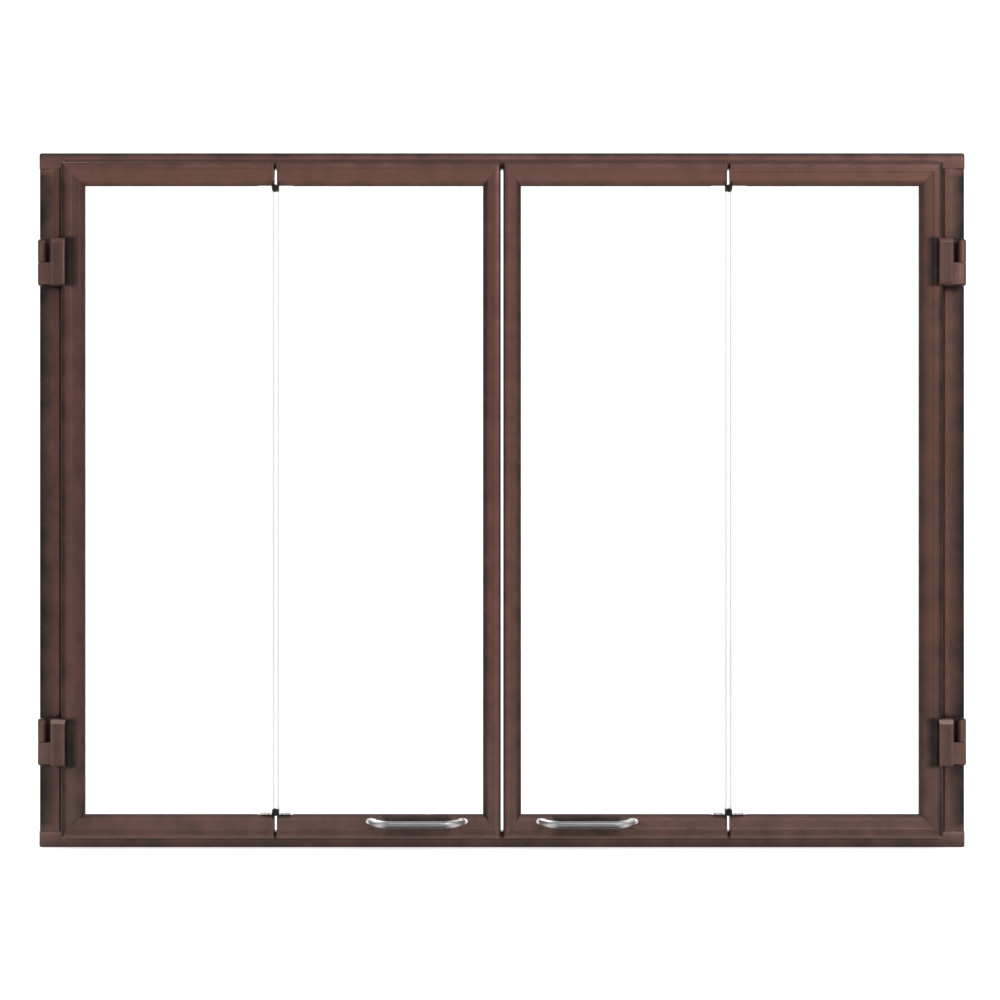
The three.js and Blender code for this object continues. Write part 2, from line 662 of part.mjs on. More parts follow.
function buildFrame() {
  const frame = new THREE.Group();
  frame.add(piece("frame_head", headGeometry(), bronze));
  frame.add(flippedFor(-1, piece("frame_sill", headGeometry(), bronze)));
  return frame;
}

function buildFrameSide(side) {
  const group = new THREE.Group();
  group.add(piece(`frame_jamb_${side}`, jambGeometry(), bronze));
  for (const [level, sign] of levels) {
    group.add(flippedFor(sign, piece(`corner_key_${level}_${side}`, cornerKeyGeometry(), zinc)));
    const bracket = piece(`mounting_bracket_${level}_${side}`, bracketGeometry(), darkBronze);
    group.add(groupAt(0, 0, sign * BRACKET_HEIGHT_ABOVE_MIDDLE, bracket));
    const leaf = piece(`hinge_frame_leaf_${level}_${side}`, frameLeafGeometry(), bronze);
    group.add(groupAt(HINGE_AXIS_X, HINGE_AXIS_Y, HINGE_HEIGHT[level], leaf));
  }
  group.add(groupAt(CATCH_X, 0, 0, piece(`magnet_catch_${side}`, catchGeometry(), magnetHousing)));
  return group;
}

function buildOuterPanel(side) {
  const name = (what) => `${side}_outer_${what}`;
  const panel = groupAt(0, doorFrontY, 0);
  panel.add(piece(name("hinge_stile"), stileGeometry(DOOR_EDGE_X, -1, RAIL_FACE), bronze));
  const stileSide = DOOR_EDGE_X - RAIL_FACE + GLASS_BITE;
  panel.add(piece(name("glass"), glassGeometry(FOLD_X + GLASS_FOLD_GAP / 2, stileSide), clearGlass));
  for (const [level, sign] of levels) {
    panel.add(flippedFor(sign, piece(name(`${level}_rail`), railGeometry(DOOR_EDGE_X, RAIL_FACE), bronze)));
    const foldShape = foldLeafGeometry(1, OUTER_KNUCKLE, level);
    const foldLeaf = piece(`fold_leaf_outer_${level}_${side}`, foldShape, darkBronze);
    const pin = pinGeometry(FOLD_PIN_RADIUS, FOLD_PIN_HEAD, ...FOLD_PIN_SPAN, 12);
    const foldPin = piece(`fold_pin_${level}_${side}`, pin, darkBronze);
    panel.add(flippedFor(sign, groupAt(FOLD_X, 0, railInnerZ, foldLeaf, foldPin)));
    const doorLeaf = piece(`hinge_door_leaf_${level}_${side}`, doorLeafGeometry(), bronze);
    const reach = BARREL_HALF + PIN_HEAD.play;
    const mainShape = pinGeometry(PIN_RADIUS, PIN_HEAD, -reach, reach, 20);
    const mainPin = piece(`hinge_pin_${level}_${side}`, mainShape, darkBronze);
    const axisY = HINGE_AXIS_Y - doorFrontY;
    panel.add(groupAt(HINGE_AXIS_X, axisY, HINGE_HEIGHT[level], doorLeaf, mainPin));
  }
  return panel;
}

function buildInnerPanel(side) {
  const name = (what) => `${side}_inner_${what}`;
  const lead = CENTRE_GAP / 2;
  const panel = groupAt(0, doorFrontY, 0);
  panel.add(piece(name("lead_stile"), stileGeometry(lead, 1, LEAD_STILE_FACE), bronze));
  const leadSide = lead + slotFloorOf(LEAD_STILE_FACE) + GAP;
  panel.add(piece(name("glass"), glassGeometry(leadSide, FOLD_X - GLASS_FOLD_GAP / 2), clearGlass));
  for (const [level, sign] of levels) {
    panel.add(flippedFor(sign, piece(name(`${level}_rail`), railGeometry(lead, LEAD_STILE_FACE), bronze)));
    const foldShape = foldLeafGeometry(-1, INNER_KNUCKLE, level);
    const leaf = piece(`fold_leaf_inner_${level}_${side}`, foldShape, darkBronze);
    panel.add(flippedFor(sign, groupAt(FOLD_X, 0, railInnerZ, leaf)));
  }
  const handle = piece(`${side}_handle`, handleGeometry(), nickel);
  panel.add(groupAt(HANDLE_X, FACE_RECESS - GAP, -HANDLE_DROP, handle));
  const strikeY = DOOR_THICKNESS + GAP;
  const half = STRIKE_WIDTH / 2;
  const strike = box(-half, half, strikeY, strikeY + STRIKE_THICKNESS, 0, STRIKE_HEIGHT);
  const strikePlate = piece(`strike_plate_${side}`, strike, zinc);
  panel.add(groupAt(CATCH_X, 0, railInnerZ + STRIKE_ABOVE, strikePlate));
  return panel;
}

// Everything on one side is drawn on the right; the left side is its mirror image.
function buildSide(side) {
  const group = new THREE.Group();
  group.scale.x = side === "left" ? -1 : 1;
  group.add(buildFrameSide(side), buildOuterPanel(side), buildInnerPanel(side));
  return group;
}

const assembly = groupAt(0, -FRAME_DEPTH / 2, FRAME_HEIGHT / 2);
assembly.add(buildFrame(), buildSide("left"), buildSide("right"));
const door = new THREE.Group();
door.add(assembly);

export default door;
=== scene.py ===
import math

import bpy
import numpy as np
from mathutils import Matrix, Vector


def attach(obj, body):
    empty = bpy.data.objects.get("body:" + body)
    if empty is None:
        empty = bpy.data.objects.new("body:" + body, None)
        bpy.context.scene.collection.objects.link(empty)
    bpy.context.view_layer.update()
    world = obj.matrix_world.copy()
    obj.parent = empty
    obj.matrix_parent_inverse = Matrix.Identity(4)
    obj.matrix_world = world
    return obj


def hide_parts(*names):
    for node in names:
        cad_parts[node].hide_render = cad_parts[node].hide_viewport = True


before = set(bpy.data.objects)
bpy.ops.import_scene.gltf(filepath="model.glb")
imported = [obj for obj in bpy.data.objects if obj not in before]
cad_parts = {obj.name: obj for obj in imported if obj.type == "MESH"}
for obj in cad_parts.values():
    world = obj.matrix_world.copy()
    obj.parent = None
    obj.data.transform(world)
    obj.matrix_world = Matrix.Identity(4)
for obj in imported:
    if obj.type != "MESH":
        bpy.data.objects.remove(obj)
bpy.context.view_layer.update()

# Looks of a fireplace glass door: two pairs of bi-fold glass panels on an overlay frame.
#
# Shapes are drawn in millimetres in the door's own coordinates: x to the right, y into the
# fireplace with the front face of the frame at 0, and z up with mid-height at 0. Everything on
# one side is drawn on the right, and the left side is its mirror image. Bar sections are drawn
# in (u, v): u from the outer edge towards the glass or the opening, v from the front face back.

# ---- Driving dimensions, in millimetres ---------------------------------------------------

FRAME_HALF_WIDTH = 508
FRAME_HALF_HEIGHT = 381
FRAME_DEPTH = 25.4
HEAD_FACE = 17.5
JAMB_FACE = 32
SHEET = 2.5
FACE_WALL = 3.2
INNER_LEG = 14
JAMB_LIP = 14
HEAD_LIP = 12
HEAD_END_ROUND = 4
HEAD_CORNER_ROUND = 3.5
GAP = 0.3

DOOR_FRONT = -21.5
DOOR_THICKNESS = 19.5
DOOR_EDGE_X = 480
DOOR_HALF_HEIGHT = 368
RAIL_FACE = 25.4
LEAD_STILE_FACE = 19
LEAD_X = 1.3
FOLD_X = 246.8
RAIL_END = 4.15
SEAM = 0.01
RAIL_INNER_Z = DOOR_HALF_HEIGHT - RAIL_FACE

GLASS_FRONT = 8
GLASS_THICKNESS = 5
GLASS_BITE = 9.6
GLASS_EDGE_ROUND = 1.6
PANE_END = 1.5  # from the fold's middle
LEAD_SLOT = 10
BACK_SETBACK = 3
FRONT_BEAD = 0.5
BACK_BEAD = 1.6

HINGE_X = 502
HINGE_Y = -9.5
HINGE_Z = {"top": 259.5, "bottom": -264}
BARREL_RADIUS = 5
BARREL_BORE = 2.9
BARREL_HALF = 24
KNUCKLE_GAP = 0.4
LEAF_HALF = 25.5
BLOCK_INNER = -27.5
BLOCK_OUTER = -11.8
BLOCK_PROUD = 5.5
LEAF_WIDTH = 18.5
LEAF_LIP = 2
LEAF_THICKNESS = 2.5
LEAF_SCREW_X = -11
LEAF_SCREW_Z = 16
BLOCK_SCREW_Y = -9.5

FOLD_PLATE = 2.3
FOLD_EAR_DEPTH = (2.6, 7.2)
FOLD_KNUCKLES = {"outer": (-3.2, -0.4), "inner": (-6.4, -3.6)}
FOLD_PIN = (-6.8, -0.1)
TOE_PADS = [(5.6, 3.7, 2.0), (9.7, 3.4, 2.5), (13.4, 3.0, 2.2)]  # start, length, height

HANDLE_X = 92.5
HANDLE_Z = -349.3
HANDLE_FOOT = 49.5
HANDLE_REACH = 26
HANDLE_RADIUS = 3.8
FOOT_LENGTH = 12.5
FOOT_WIDTH = 7.2
FOOT_RISE = 2

CATCH_X = 29
CATCH_EAR_THICKNESS = 2
CATCH_SCREW_X = 19
CATCH_SCREW_Y = 7.2
POLE_X = 4
POLE_HALF = 1.05
POLE_HEIGHT = 7.5
STRIKE_THICKNESS = 1
STRIKE_SCREW_X = 9
STRIKE_MIDDLE = 16  # above the rail's inner edge

KEY_LEG = 62
KEY_THICKNESS = 2
KEY_SCREWS = (0.45, 0.85)  # shares of a leg's length
BRACKET_Z = 200
BRACKET_SCREW_Y = 8.5
BRACKET_SCREW_Z = 8

SIDES = {"left": -1, "right": 1}
LEVELS = {"top": 1, "bottom": -1}
SHARP_ANGLE = 38


# ---- Surfaces ------------------------------------------------------------------------------
# A surface is (points, quads, caps, patina): points (k, 3), quads (q, 4), a list of index rings
# that each close an end, and one patina value for each point, from 1 (dark) to 0 (rubbed bright)
# and below it (painted highlight). Besides the rubbed patina, the value carries painted shade
# and painted highlight.


def rounded(corners, steps=4):
    """Closed outline through (x, y, radius) corners. Each corner becomes an arc of its radius,
    tangent to both sides: centre = corner + unit bisector * radius / sin(half angle), and the
    arc's points turn evenly from one tangent point to the other."""
    corners = np.array(corners, float)
    point, radius = corners[:, :2], corners[:, 2:]
    back = np.roll(point, 1, 0) - point
    ahead = np.roll(point, -1, 0) - point
    back /= np.linalg.norm(back, axis=1, keepdims=True)
    ahead /= np.linalg.norm(ahead, axis=1, keepdims=True)
    half = np.arccos(np.clip((back * ahead).sum(1, keepdims=True), -1, 1)) / 2
    bisector = back + ahead
    bisector /= np.linalg.norm(bisector, axis=1, keepdims=True)
    centre = point + bisector * radius / np.sin(half)
    first = point + back * radius / np.tan(half) - centre
    last = point + ahead * radius / np.tan(half) - centre
    turn = (np.pi - 2 * half)[:, None]
    share = np.linspace(0, 1, steps + 1)[None, :, None]
    arc = np.sin((1 - share) * turn) * first[:, None] + np.sin(share * turn) * last[:, None]
    return (centre[:, None] + arc / np.sin(turn)).reshape(-1, 2)


def divided(outline, longest):
    """The same closed outline with points added along it, so that none of its steps is longer
    than longest: its points by running length, joined with marks at multiples of longest."""
    loop = np.concatenate([outline, outline[:1]])
    run = np.concatenate([[0], np.cumsum(np.linalg.norm(np.diff(loop, axis=0), axis=1))])
    marks = np.unique(np.round(np.concatenate([run, np.arange(0, run[-1], longest)]), 3))
    marks = marks[:-1] if marks[-1] > run[-1] - 0.002 else marks
    return np.stack([np.interp(marks, run, loop[:, k]) for k in (0, 1)], 1)


def skinned(rings, patina_and_shade=0.0, closed=False):
    """Skin over rings (m, n, 3): a quad joins each pair of neighbours, and one face closes the
    first ring and one the last, unless the rings themselves come back to the first one."""
    m, n = rings.shape[:2]
    index = np.arange(m * n).reshape(m, n)
    here = index if closed else index[:-1]
    there = np.roll(index, -1, 0) if closed else index[1:]
    quads = np.stack([here, np.roll(here, -1, 1), np.roll(there, -1, 1), there], -1).reshape(-1, 4)
    caps = [] if closed else [index[0, ::-1], index[-1]]
    tone = np.broadcast_to(patina_and_shade, (m, n)).astype(float).ravel()
    return rings.reshape(-1, 3).astype(float), quads, caps, tone


def facing_out(surface):
    """The surface with every face turned round if its volume, the sum over fan triangles of
    a . (b x c) / 6, comes out negative."""
    points, quads, caps, tone = surface
    fans = [quads[:, [0, 1, 2]], quads[:, [0, 2, 3]]]
    fans += [np.stack([np.full(len(c) - 2, c[0]), c[1:-1], c[2:]], 1) for c in caps]
    a, b, c = np.moveaxis(points[np.concatenate(fans)], 1, 0)
    if (a * np.cross(b, c)).sum() < 0:
        quads, caps = quads[:, ::-1], [cap[::-1] for cap in caps]
    return points, quads, caps, tone


def merged(*surfaces):
    """Several closed surfaces as one, each facing outwards."""
    points, quads, caps, tones, start = [], [], [], [], 0
    for surface in map(facing_out, surfaces):
        points.append(surface[0])
        quads.append(surface[1] + start)
        caps += [cap + start for cap in surface[2]]
        tones.append(surface[3])
        start += len(surface[0])
    return np.concatenate(points), np.concatenate(quads), caps, np.concatenate(tones)


def toned(surface, patina_and_shade):
    """The surface with one patina value all over."""
    return *surface[:3], np.full(len(surface[0]), float(patina_and_shade))


def moved(surface, x=0.0, y=0.0, z=0.0, scale=(1, 1, 1)):
    """Scaled about the origin, then shifted."""
    return surface[0] * np.array(scale, float) + np.array([x, y, z], float), *surface[1:]


def turned(profile, segments=40, patina_and_shade=0.0):
    """Surface of revolution about z from (radius, height) pairs, a closed loop if the first pair
    isn't on the axis: point = (r cos a, r sin a, h)."""
    r, h = np.array(profile, float).T[:, :, None]
    angle = np.linspace(0, 2 * np.pi, segments, endpoint=False)[None, :]
    rings = np.stack([r * np.cos(angle), r * np.sin(angle), h + 0 * angle], -1)
    return skinned(rings, patina_and_shade, closed=profile[0][0] > 0 and profile[-1][0] > 0)


def slab(outline, low, high, edge=0.3, patina_and_shade=0.0):
    """An outline (n, 2) in x and z with thickness in y. Its two faces are drawn in by a quarter
    round of radius edge: inset = edge (1 - cos a) at depth edge (1 - sin a)."""
    angle = np.linspace(0, np.pi / 2, 4)
    inset = np.concatenate([edge * (1 - np.cos(angle))[::-1], edge * (1 - np.cos(angle))])
    depth = edge * (1 - np.sin(angle))
    y = np.concatenate([low + depth[::-1], high - depth])
    following = np.roll(outline, -1, 0)
    ahead, back = following - outline, outline - np.roll(outline, 1, 0)
    ahead /= np.linalg.norm(ahead, axis=1, keepdims=True)
    back /= np.linalg.norm(back, axis=1, keepdims=True)
    tangent = ahead + back
    normal = np.stack([tangent[:, 1], -tangent[:, 0]], 1)
    normal /= np.linalg.norm(normal, axis=1, keepdims=True)
    area = (outline[:, 0] * following[:, 1] - outline[:, 1] * following[:, 0]).sum()
    flat = outline[None] - inset[:, None, None] * normal[None] * np.sign(area)
    rings = np.stack([flat[..., 0], np.broadcast_to(y[:, None], flat.shape[:2]), flat[..., 1]], -1)
    return skinned(rings, patina_and_shade)


def block(x, y, z, round_=0.5, edge=0.3):
    """A box with rounded corners in x and z and softened front and back edges."""
    (x0, x1), (y0, y1), (z0, z1) = x, y, z
    corners = [(x0, z0, round_), (x1, z0, round_), (x1, z1, round_), (x0, z1, round_)]
    return slab(rounded(corners, 3), y0, y1, edge)


def place(name, surface, side, level, body, finish, stands_for=()):
    """Makes the mesh of a piece drawn at the top right, mirrored for its side and level, in
    metres in the row frame, and lets it ride on its body."""
    points, quads, caps, tone = surface
    mirror = np.array([SIDES.get(side, 1), 1, LEVELS.get(level, 1)], float)
    points, quads, caps, tone = merged((points * mirror, quads, caps, tone))
    points = (points + [0, -FRAME_DEPTH / 2, FRAME_HALF_HEIGHT]) / 1000
    mesh = bpy.data.meshes.new(name)
    mesh.from_pydata(points.tolist(), [], quads.tolist() + [cap.tolist() for cap in caps])
    patina_and_shade = mesh.attributes.new("patina_and_shade", "FLOAT", "POINT")
    patina_and_shade.data.foreach_set("value", tone.astype(np.float32))
    mesh.materials.append(finish)
    mesh.polygons.foreach_set("use_smooth", np.ones(len(mesh.polygons), bool))
    mesh.set_sharp_from_angle(angle=math.radians(SHARP_ANGLE))
    mesh.validate()
    piece = bpy.data.objects.new(name, mesh)
    bpy.context.scene.collection.objects.link(piece)
    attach(piece, body)
    if stands_for:
        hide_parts(*stands_for)


# ---- Finishes ------------------------------------------------------------------------------


def wire(tree, made, inputs):
    """Gives a node its inputs. One given as a socket is linked, any other is set."""
    for key, value in inputs.items():
        if isinstance(value, bpy.types.NodeSocket):
            tree.links.new(value, made.inputs[key])
        else:
            made.inputs[key].default_value = value


def node(tree, kind, inputs, **settings):
    """A shader node with its settings and its inputs."""
    made = tree.nodes.new(kind)
    for key, value in settings.items():
        setattr(made, key, value)
    wire(tree, made, inputs)
    return made


def new_finish(name):
    """An empty material: its node tree, its Principled shader and its Object coordinates."""
    material = bpy.data.materials.new(name)
    material.use_nodes = True
    tree = material.node_tree
    shader = next(n for n in tree.nodes if n.type == "BSDF_PRINCIPLED")
    place_on_piece = tree.nodes.new("ShaderNodeTexCoord").outputs["Object"]
    return material, tree, shader, place_on_piece


def grain(tree, vector, scale, detail=3.0, stretch=(1, 1, 1)):
    """Noise of that scale per metre on Object coordinates, drawn out along an axis by stretch."""
    mapped = node(tree, "ShaderNodeMapping", {"Vector": vector, "Scale": stretch})
    inputs = {"Vector": mapped.outputs["Vector"], "Scale": scale, "Detail": detail}
    return node(tree, "ShaderNodeTexNoise", inputs).outputs["Fac"]


def ranged(tree, value, low, high, start=0.3, end=0.7):
    """The value carried from start..end to low..high, held at both ends."""
    inputs = {"Value": value, "From Min": start, "From Max": end, "To Min": low, "To Max": high}
    return node(tree, "ShaderNodeMapRange", inputs).outputs["Result"]


def blended(tree, factor, a, b, kind="MIX"):
    """Colour a turned into colour b by the factor. A colour is a linear triple or a socket."""
    a, b = ((*c, 1) if isinstance(c, tuple) else c for c in (a, b))
    inputs = {"Factor": factor, 6: a, 7: b}
    return node(tree, "ShaderNodeMix", inputs, data_type="RGBA", blend_type=kind).outputs[2]


def bumped(tree, height, distance, strength):
    """Shading normal of a relief: its height in metres is distance times the height value."""
    inputs = {"Height": height, "Distance": distance, "Strength": strength}
    return node(tree, "ShaderNodeBump", inputs).outputs["Normal"]


def joined_up(tree, a, b, operation="ADD"):
    """Two values put together by an operation of the Math node."""
    return node(tree, "ShaderNodeMath", {0: a, 1: b}, operation=operation).outputs[0]


# Greyer bronze low down, and the pale bronze of painted highlight
LOW_GREY = (0.1, 0.066, 0.055)
HIGHLIGHT_BRONZE = (0.36, 0.27, 0.235)
GREYING_HEIGHT = 0.22  # metres above the hearth


def oil_rubbed_bronze(name, rubbed, dark, warm, metallic=0.62):
    """Sprayed bronze with a rubbed patina: bright on crests, dark in grooves and along edges by
    the patina attribute, which also carries painted shade and painted highlight, with slow drifts
    of tint, a fine speckle, and a sprayed-on tooth. A patina below 0 is painted highlight, which
    lightens it towards a pale bronze. It turns greyer towards the bottom."""
    material, tree, shader, at = new_finish(name)
    patina_and_shade = node(tree, "ShaderNodeAttribute", {}, attribute_name="patina_and_shade").outputs["Fac"]
    drift = grain(tree, at, 9, 4)
    cloud = grain(tree, at, 46, 3)
    speck = grain(tree, at, 1500, 2)
    wear_and_shade = joined_up(tree, patina_and_shade, ranged(tree, cloud, -0.14, 0.14))
    colour = blended(tree, wear_and_shade, rubbed, dark)
    colour = blended(tree, ranged(tree, drift, 0, 0.55), colour, blended(tree, wear_and_shade, warm, dark))
    # Greyer towards the bottom.
    height = node(tree, "ShaderNodeSeparateXYZ", {"Vector": at}).outputs["Z"]
    low_down = ranged(tree, height, 0.7, 0, 0.0, GREYING_HEIGHT)
    greying = joined_up(tree, low_down, ranged(tree, cloud, 0.7, 1.1), "MULTIPLY")
    colour = blended(tree, greying, colour, blended(tree, wear_and_shade, LOW_GREY, dark))
    # Painted highlight where the patina goes below 0, towards a pale bronze.
    highlight_mask = ranged(tree, joined_up(tree, patina_and_shade, ranged(tree, cloud, -0.05, 0.05)), 1, 0, -1, 0)
    colour = blended(tree, highlight_mask, colour, HIGHLIGHT_BRONZE)
    flecked = ranged(tree, speck, 0, 1, 0.25, 0.75)
    fleck = blended(tree, flecked, (0.8, 0.78, 0.77), (1.16, 1.12, 1.1))
    colour = blended(tree, 1.0, colour, fleck, "MULTIPLY")
    rough = joined_up(tree, ranged(tree, cloud, 0.37, 0.49), ranged(tree, speck, -0.03, 0.05))
    wire(tree, shader, {
        "Base Color": colour,
        "Metallic": metallic,
        "Roughness": rough,
        "Normal": bumped(tree, speck, 0.00006, 0.35),
        "Specular IOR Level": 0.25,
    })
    return material


def brushed_nickel():
    """Satin nickel brushed along the grip, with short strokes and soft smudges. By the patina
    attribute it carries a painted highlight on the upper side of the bar and on the legs, and
    painted shade below it."""
    material, tree, shader, at = new_finish("brushed_nickel")
    strokes = grain(tree, at, 2600, 3, (0.02, 1, 1))
    smudge = grain(tree, at, 60, 3)
    patina_and_shade = node(tree, "ShaderNodeAttribute", {}, attribute_name="patina_and_shade").outputs["Fac"]
    tint = blended(tree, ranged(tree, strokes, 0, 1), (0.46, 0.45, 0.45), (0.66, 0.64, 0.64))
    tint = blended(tree, patina_and_shade, tint, (0.012, 0.0135, 0.015))
    rough = joined_up(tree, ranged(tree, strokes, 0.3, 0.4), ranged(tree, smudge, -0.02, 0.06))
    wire(tree, shader, {
        "Base Color": tint,
        "Metallic": 1.0,
        "Roughness": rough,
        "Anisotropic": 0.4,
        "Normal": bumped(tree, strokes, 0.00004, 0.25),
    })
    return material


def clear_glass():
    """Clear tempered glass. Its ground edges carry a grey-green tint and a satin haze by the
    patina attribute, and lamps shine through it."""
    material, tree, shader, at = new_finish("clear_tempered_glass")
    edge = node(tree, "ShaderNodeAttribute", {}, attribute_name="patina_and_shade").outputs["Fac"]
    ripple = grain(tree, at, 700, 2, (1, 1, 0.2))
    tint = blended(tree, edge, (0.985, 0.993, 0.988), (0.15, 0.17, 0.165))
    haze = joined_up(tree, edge, ranged(tree, ripple, 0.18, 0.34), "MULTIPLY")
    glassy = {"Base Color": tint, "Roughness": haze, "Transmission Weight": 1.0, "IOR": 1.5}
    wire(tree, shader, glassy)
    through = node(tree, "ShaderNodeBsdfTransparent", {"Color": (0.95, 0.965, 0.958, 1)})
    rays = tree.nodes.new("ShaderNodeLightPath").outputs["Is Shadow Ray"]
    mix = node(tree, "ShaderNodeMixShader", {0: rays, 1: shader.outputs[0], 2: through.outputs[0]})
    output = next(n for n in tree.nodes if n.type == "OUTPUT_MATERIAL")
    wire(tree, output, {"Surface": mix.outputs[0]})
    return material


def black_silicone():
    """Matt black glazing bead with faint dust in its pores."""
    material, tree, shader, at = new_finish("black_glazing_silicone")
    pores = grain(tree, at, 900, 3)
    dust = grain(tree, at, 60, 2)
    colour = blended(tree, ranged(tree, dust, 0, 0.5), (0.018, 0.016, 0.015), (0.05, 0.045, 0.042))
    rough, relief = ranged(tree, pores, 0.55, 0.75), bumped(tree, pores, 0.0001, 0.3)
    wire(tree, shader, {"Base Color": colour, "Roughness": rough, "Normal": relief})
    return material


def stove_black():
    """Black heat-proof paint: dry, slightly uneven, with a coarse sprayed tooth."""
    material, tree, shader, at = new_finish("stove_black_paint")
    tooth = grain(tree, at, 1100, 3)
    uneven = grain(tree, at, 35, 3)
    colour = blended(tree, uneven, (0.016, 0.0155, 0.015), (0.034, 0.031, 0.029))
    rough, relief = ranged(tree, uneven, 0.5, 0.66), bumped(tree, tooth, 0.00012, 0.35)
    wire(tree, shader, {"Base Color": colour, "Roughness": rough, "Normal": relief})
    return material


def zinc_plate():
    """Bright zinc plating with a faint yellow and blue bloom and fine rolling lines."""
    material, tree, shader, at = new_finish("zinc_plated_steel")
    bloom = grain(tree, at, 40, 3)
    lines = grain(tree, at, 1800, 2, (1, 1, 0.06))
    colour = blended(tree, ranged(tree, bloom, 0, 1), (0.5, 0.49, 0.44), (0.46, 0.49, 0.53))
    rough, relief = ranged(tree, lines, 0.3, 0.45), bumped(tree, lines, 0.00004, 0.3)
    plated = {"Base Color": colour, "Metallic": 0.95, "Roughness": rough, "Normal": relief}
    wire(tree, shader, plated)
    return material


def moulded_housing():
    """Dark brown moulded plastic with a spark-eroded grain."""
    material, tree, shader, at = new_finish("moulded_catch_housing")
    erosion = grain(tree, at, 1300, 3)
    flow = grain(tree, at, 50, 2, (1, 1, 3))
    colour = blended(tree, flow, (0.02, 0.016, 0.013), (0.038, 0.03, 0.025))
    rough, relief = ranged(tree, erosion, 0.42, 0.6), bumped(tree, erosion, 0.0001, 0.3)
    wire(tree, shader, {"Base Color": colour, "Roughness": rough, "Normal": relief})
    return material


FRAME_BRONZE = oil_rubbed_bronze(
    "frame_bronze_paint", (0.112, 0.056, 0.045), (0.0105, 0.0085, 0.0083), (0.118, 0.052, 0.038)
)
DOOR_BRONZE = oil_rubbed_bronze(
    "door_bronze_paint", (0.112, 0.055, 0.045), (0.011, 0.0075, 0.007), (0.118, 0.052, 0.037)
)
HINGE_BRONZE = oil_rubbed_bronze(
    "hinge_bronze_paint", (0.1, 0.054, 0.044), (0.026, 0.017, 0.015), (0.102, 0.051, 0.039), 0.65
)
DARK_BRONZE = oil_rubbed_bronze(
    "dark_bronze_pins", (0.055, 0.036, 0.031), (0.018, 0.013, 0.012), (0.058, 0.035, 0.028), 0.75
)
FOLD_BRONZE = oil_rubbed_bronze(
    "fold_hinge_bronze", (0.112, 0.057, 0.047), (0.011, 0.01, 0.0095), (0.118, 0.055, 0.04)
)
NICKEL = brushed_nickel()
GLASS = clear_glass()
SILICONE = black_silicone()
STOVE_BLACK = stove_black()
ZINC = zinc_plate()
HOUSING = moulded_housing()


# ---- Bars ----------------------------------------------------------------------------------


def jamb_section():
    """Open-backed channel: outer leg, face that slopes up to a flat crest, a groove, inner leg."""
    return rounded([
        (0, FRAME_DEPTH, 0.4),
        (0, 4.04, 3.4),
        (16.5, 0, 4),
        (22.5, 0, 1.1),
        (25, 2.6, 2.9),
        (27.5, 0, 1.1),
        (JAMB_FACE, 0, 0.6),
        (JAMB_FACE, INNER_LEG, 0.4),
        (JAMB_FACE - SHEET, INNER_LEG, 0.4),
        (JAMB_FACE - SHEET, FACE_WALL, 0.5),
        (16.5, FACE_WALL, 1),
        (SHEET, 9, 1),
        (SHEET, FRAME_DEPTH - SHEET, 0.5),
        (JAMB_LIP, FRAME_DEPTH - SHEET, 0.4),
        (JAMB_LIP, FRAME_DEPTH, 0.4),
    ])


def head_section():
    """The same channel, narrower and without the groove, for head and sill."""
    return rounded([
        (0, FRAME_DEPTH, 0.4),
        (0, 1.9, 1.5),
        (7, 0, 3),
        (HEAD_FACE, 0, 0.6),
        (HEAD_FACE, INNER_LEG, 0.4),
        (HEAD_FACE - SHEET, INNER_LEG, 0.4),
        (HEAD_FACE - SHEET, FACE_WALL, 0.5),
        (7, FACE_WALL, 0.8),
        (SHEET, 6, 0.8),
        (SHEET, FRAME_DEPTH - SHEET, 0.5),
        (HEAD_LIP, FRAME_DEPTH - SHEET, 0.4),
        (HEAD_LIP, FRAME_DEPTH, 0.4),
    ])


def door_section(face):
    """Rail or stile: rounded outer edge, raised crest, recessed flat, bevel down to the glass,
    and the slot that holds it. A narrow stile has a narrower edge and crest."""
    narrow = (face - 5) / (RAIL_FACE - 5)
    slot_floor = face - min(10, face - 10)
    slot_front, slot_back = GLASS_FRONT - GAP, GLASS_FRONT + GLASS_THICKNESS + GAP
    return rounded([
        (0, DOOR_THICKNESS, 0.5),
        (0, 3, 2.1),
        (2.2 * narrow, 0.9, 3.4 * narrow),
        (6.5 * narrow, 0, 9 * narrow),
        (10.5 * narrow, 0, 0.9),
        (10.5 * narrow + 1, 1, 0.9),
        (face - 5, 1, 0.9),
        (face, 6, 0.5),
        (face, slot_front, 0.3),
        (slot_floor, slot_front, 0.2),
        (slot_floor, slot_back, 0.2),
        (face - BACK_SETBACK, slot_back, 0.3),
        (face - BACK_SETBACK, DOOR_THICKNESS, 0.5),
    ])


BACK_DARK = 0.62


def bar_patina_and_shade(section, stops):
    """Patina and painted light across a bar: on the front the dark of each (u, patina) stop,
    straight between stops, changing between depths of 4 and 10 to a plain BACK_DARK behind."""
    u, v = section.T
    at, dark = np.array(stops, float).T
    behind = np.clip((v - 4) / 6, 0, 1)
    return np.interp(u, at, dark) * (1 - behind) + BACK_DARK * behind


SPOT_FADE = 3.5
PLAIN_PATINA = 0.1


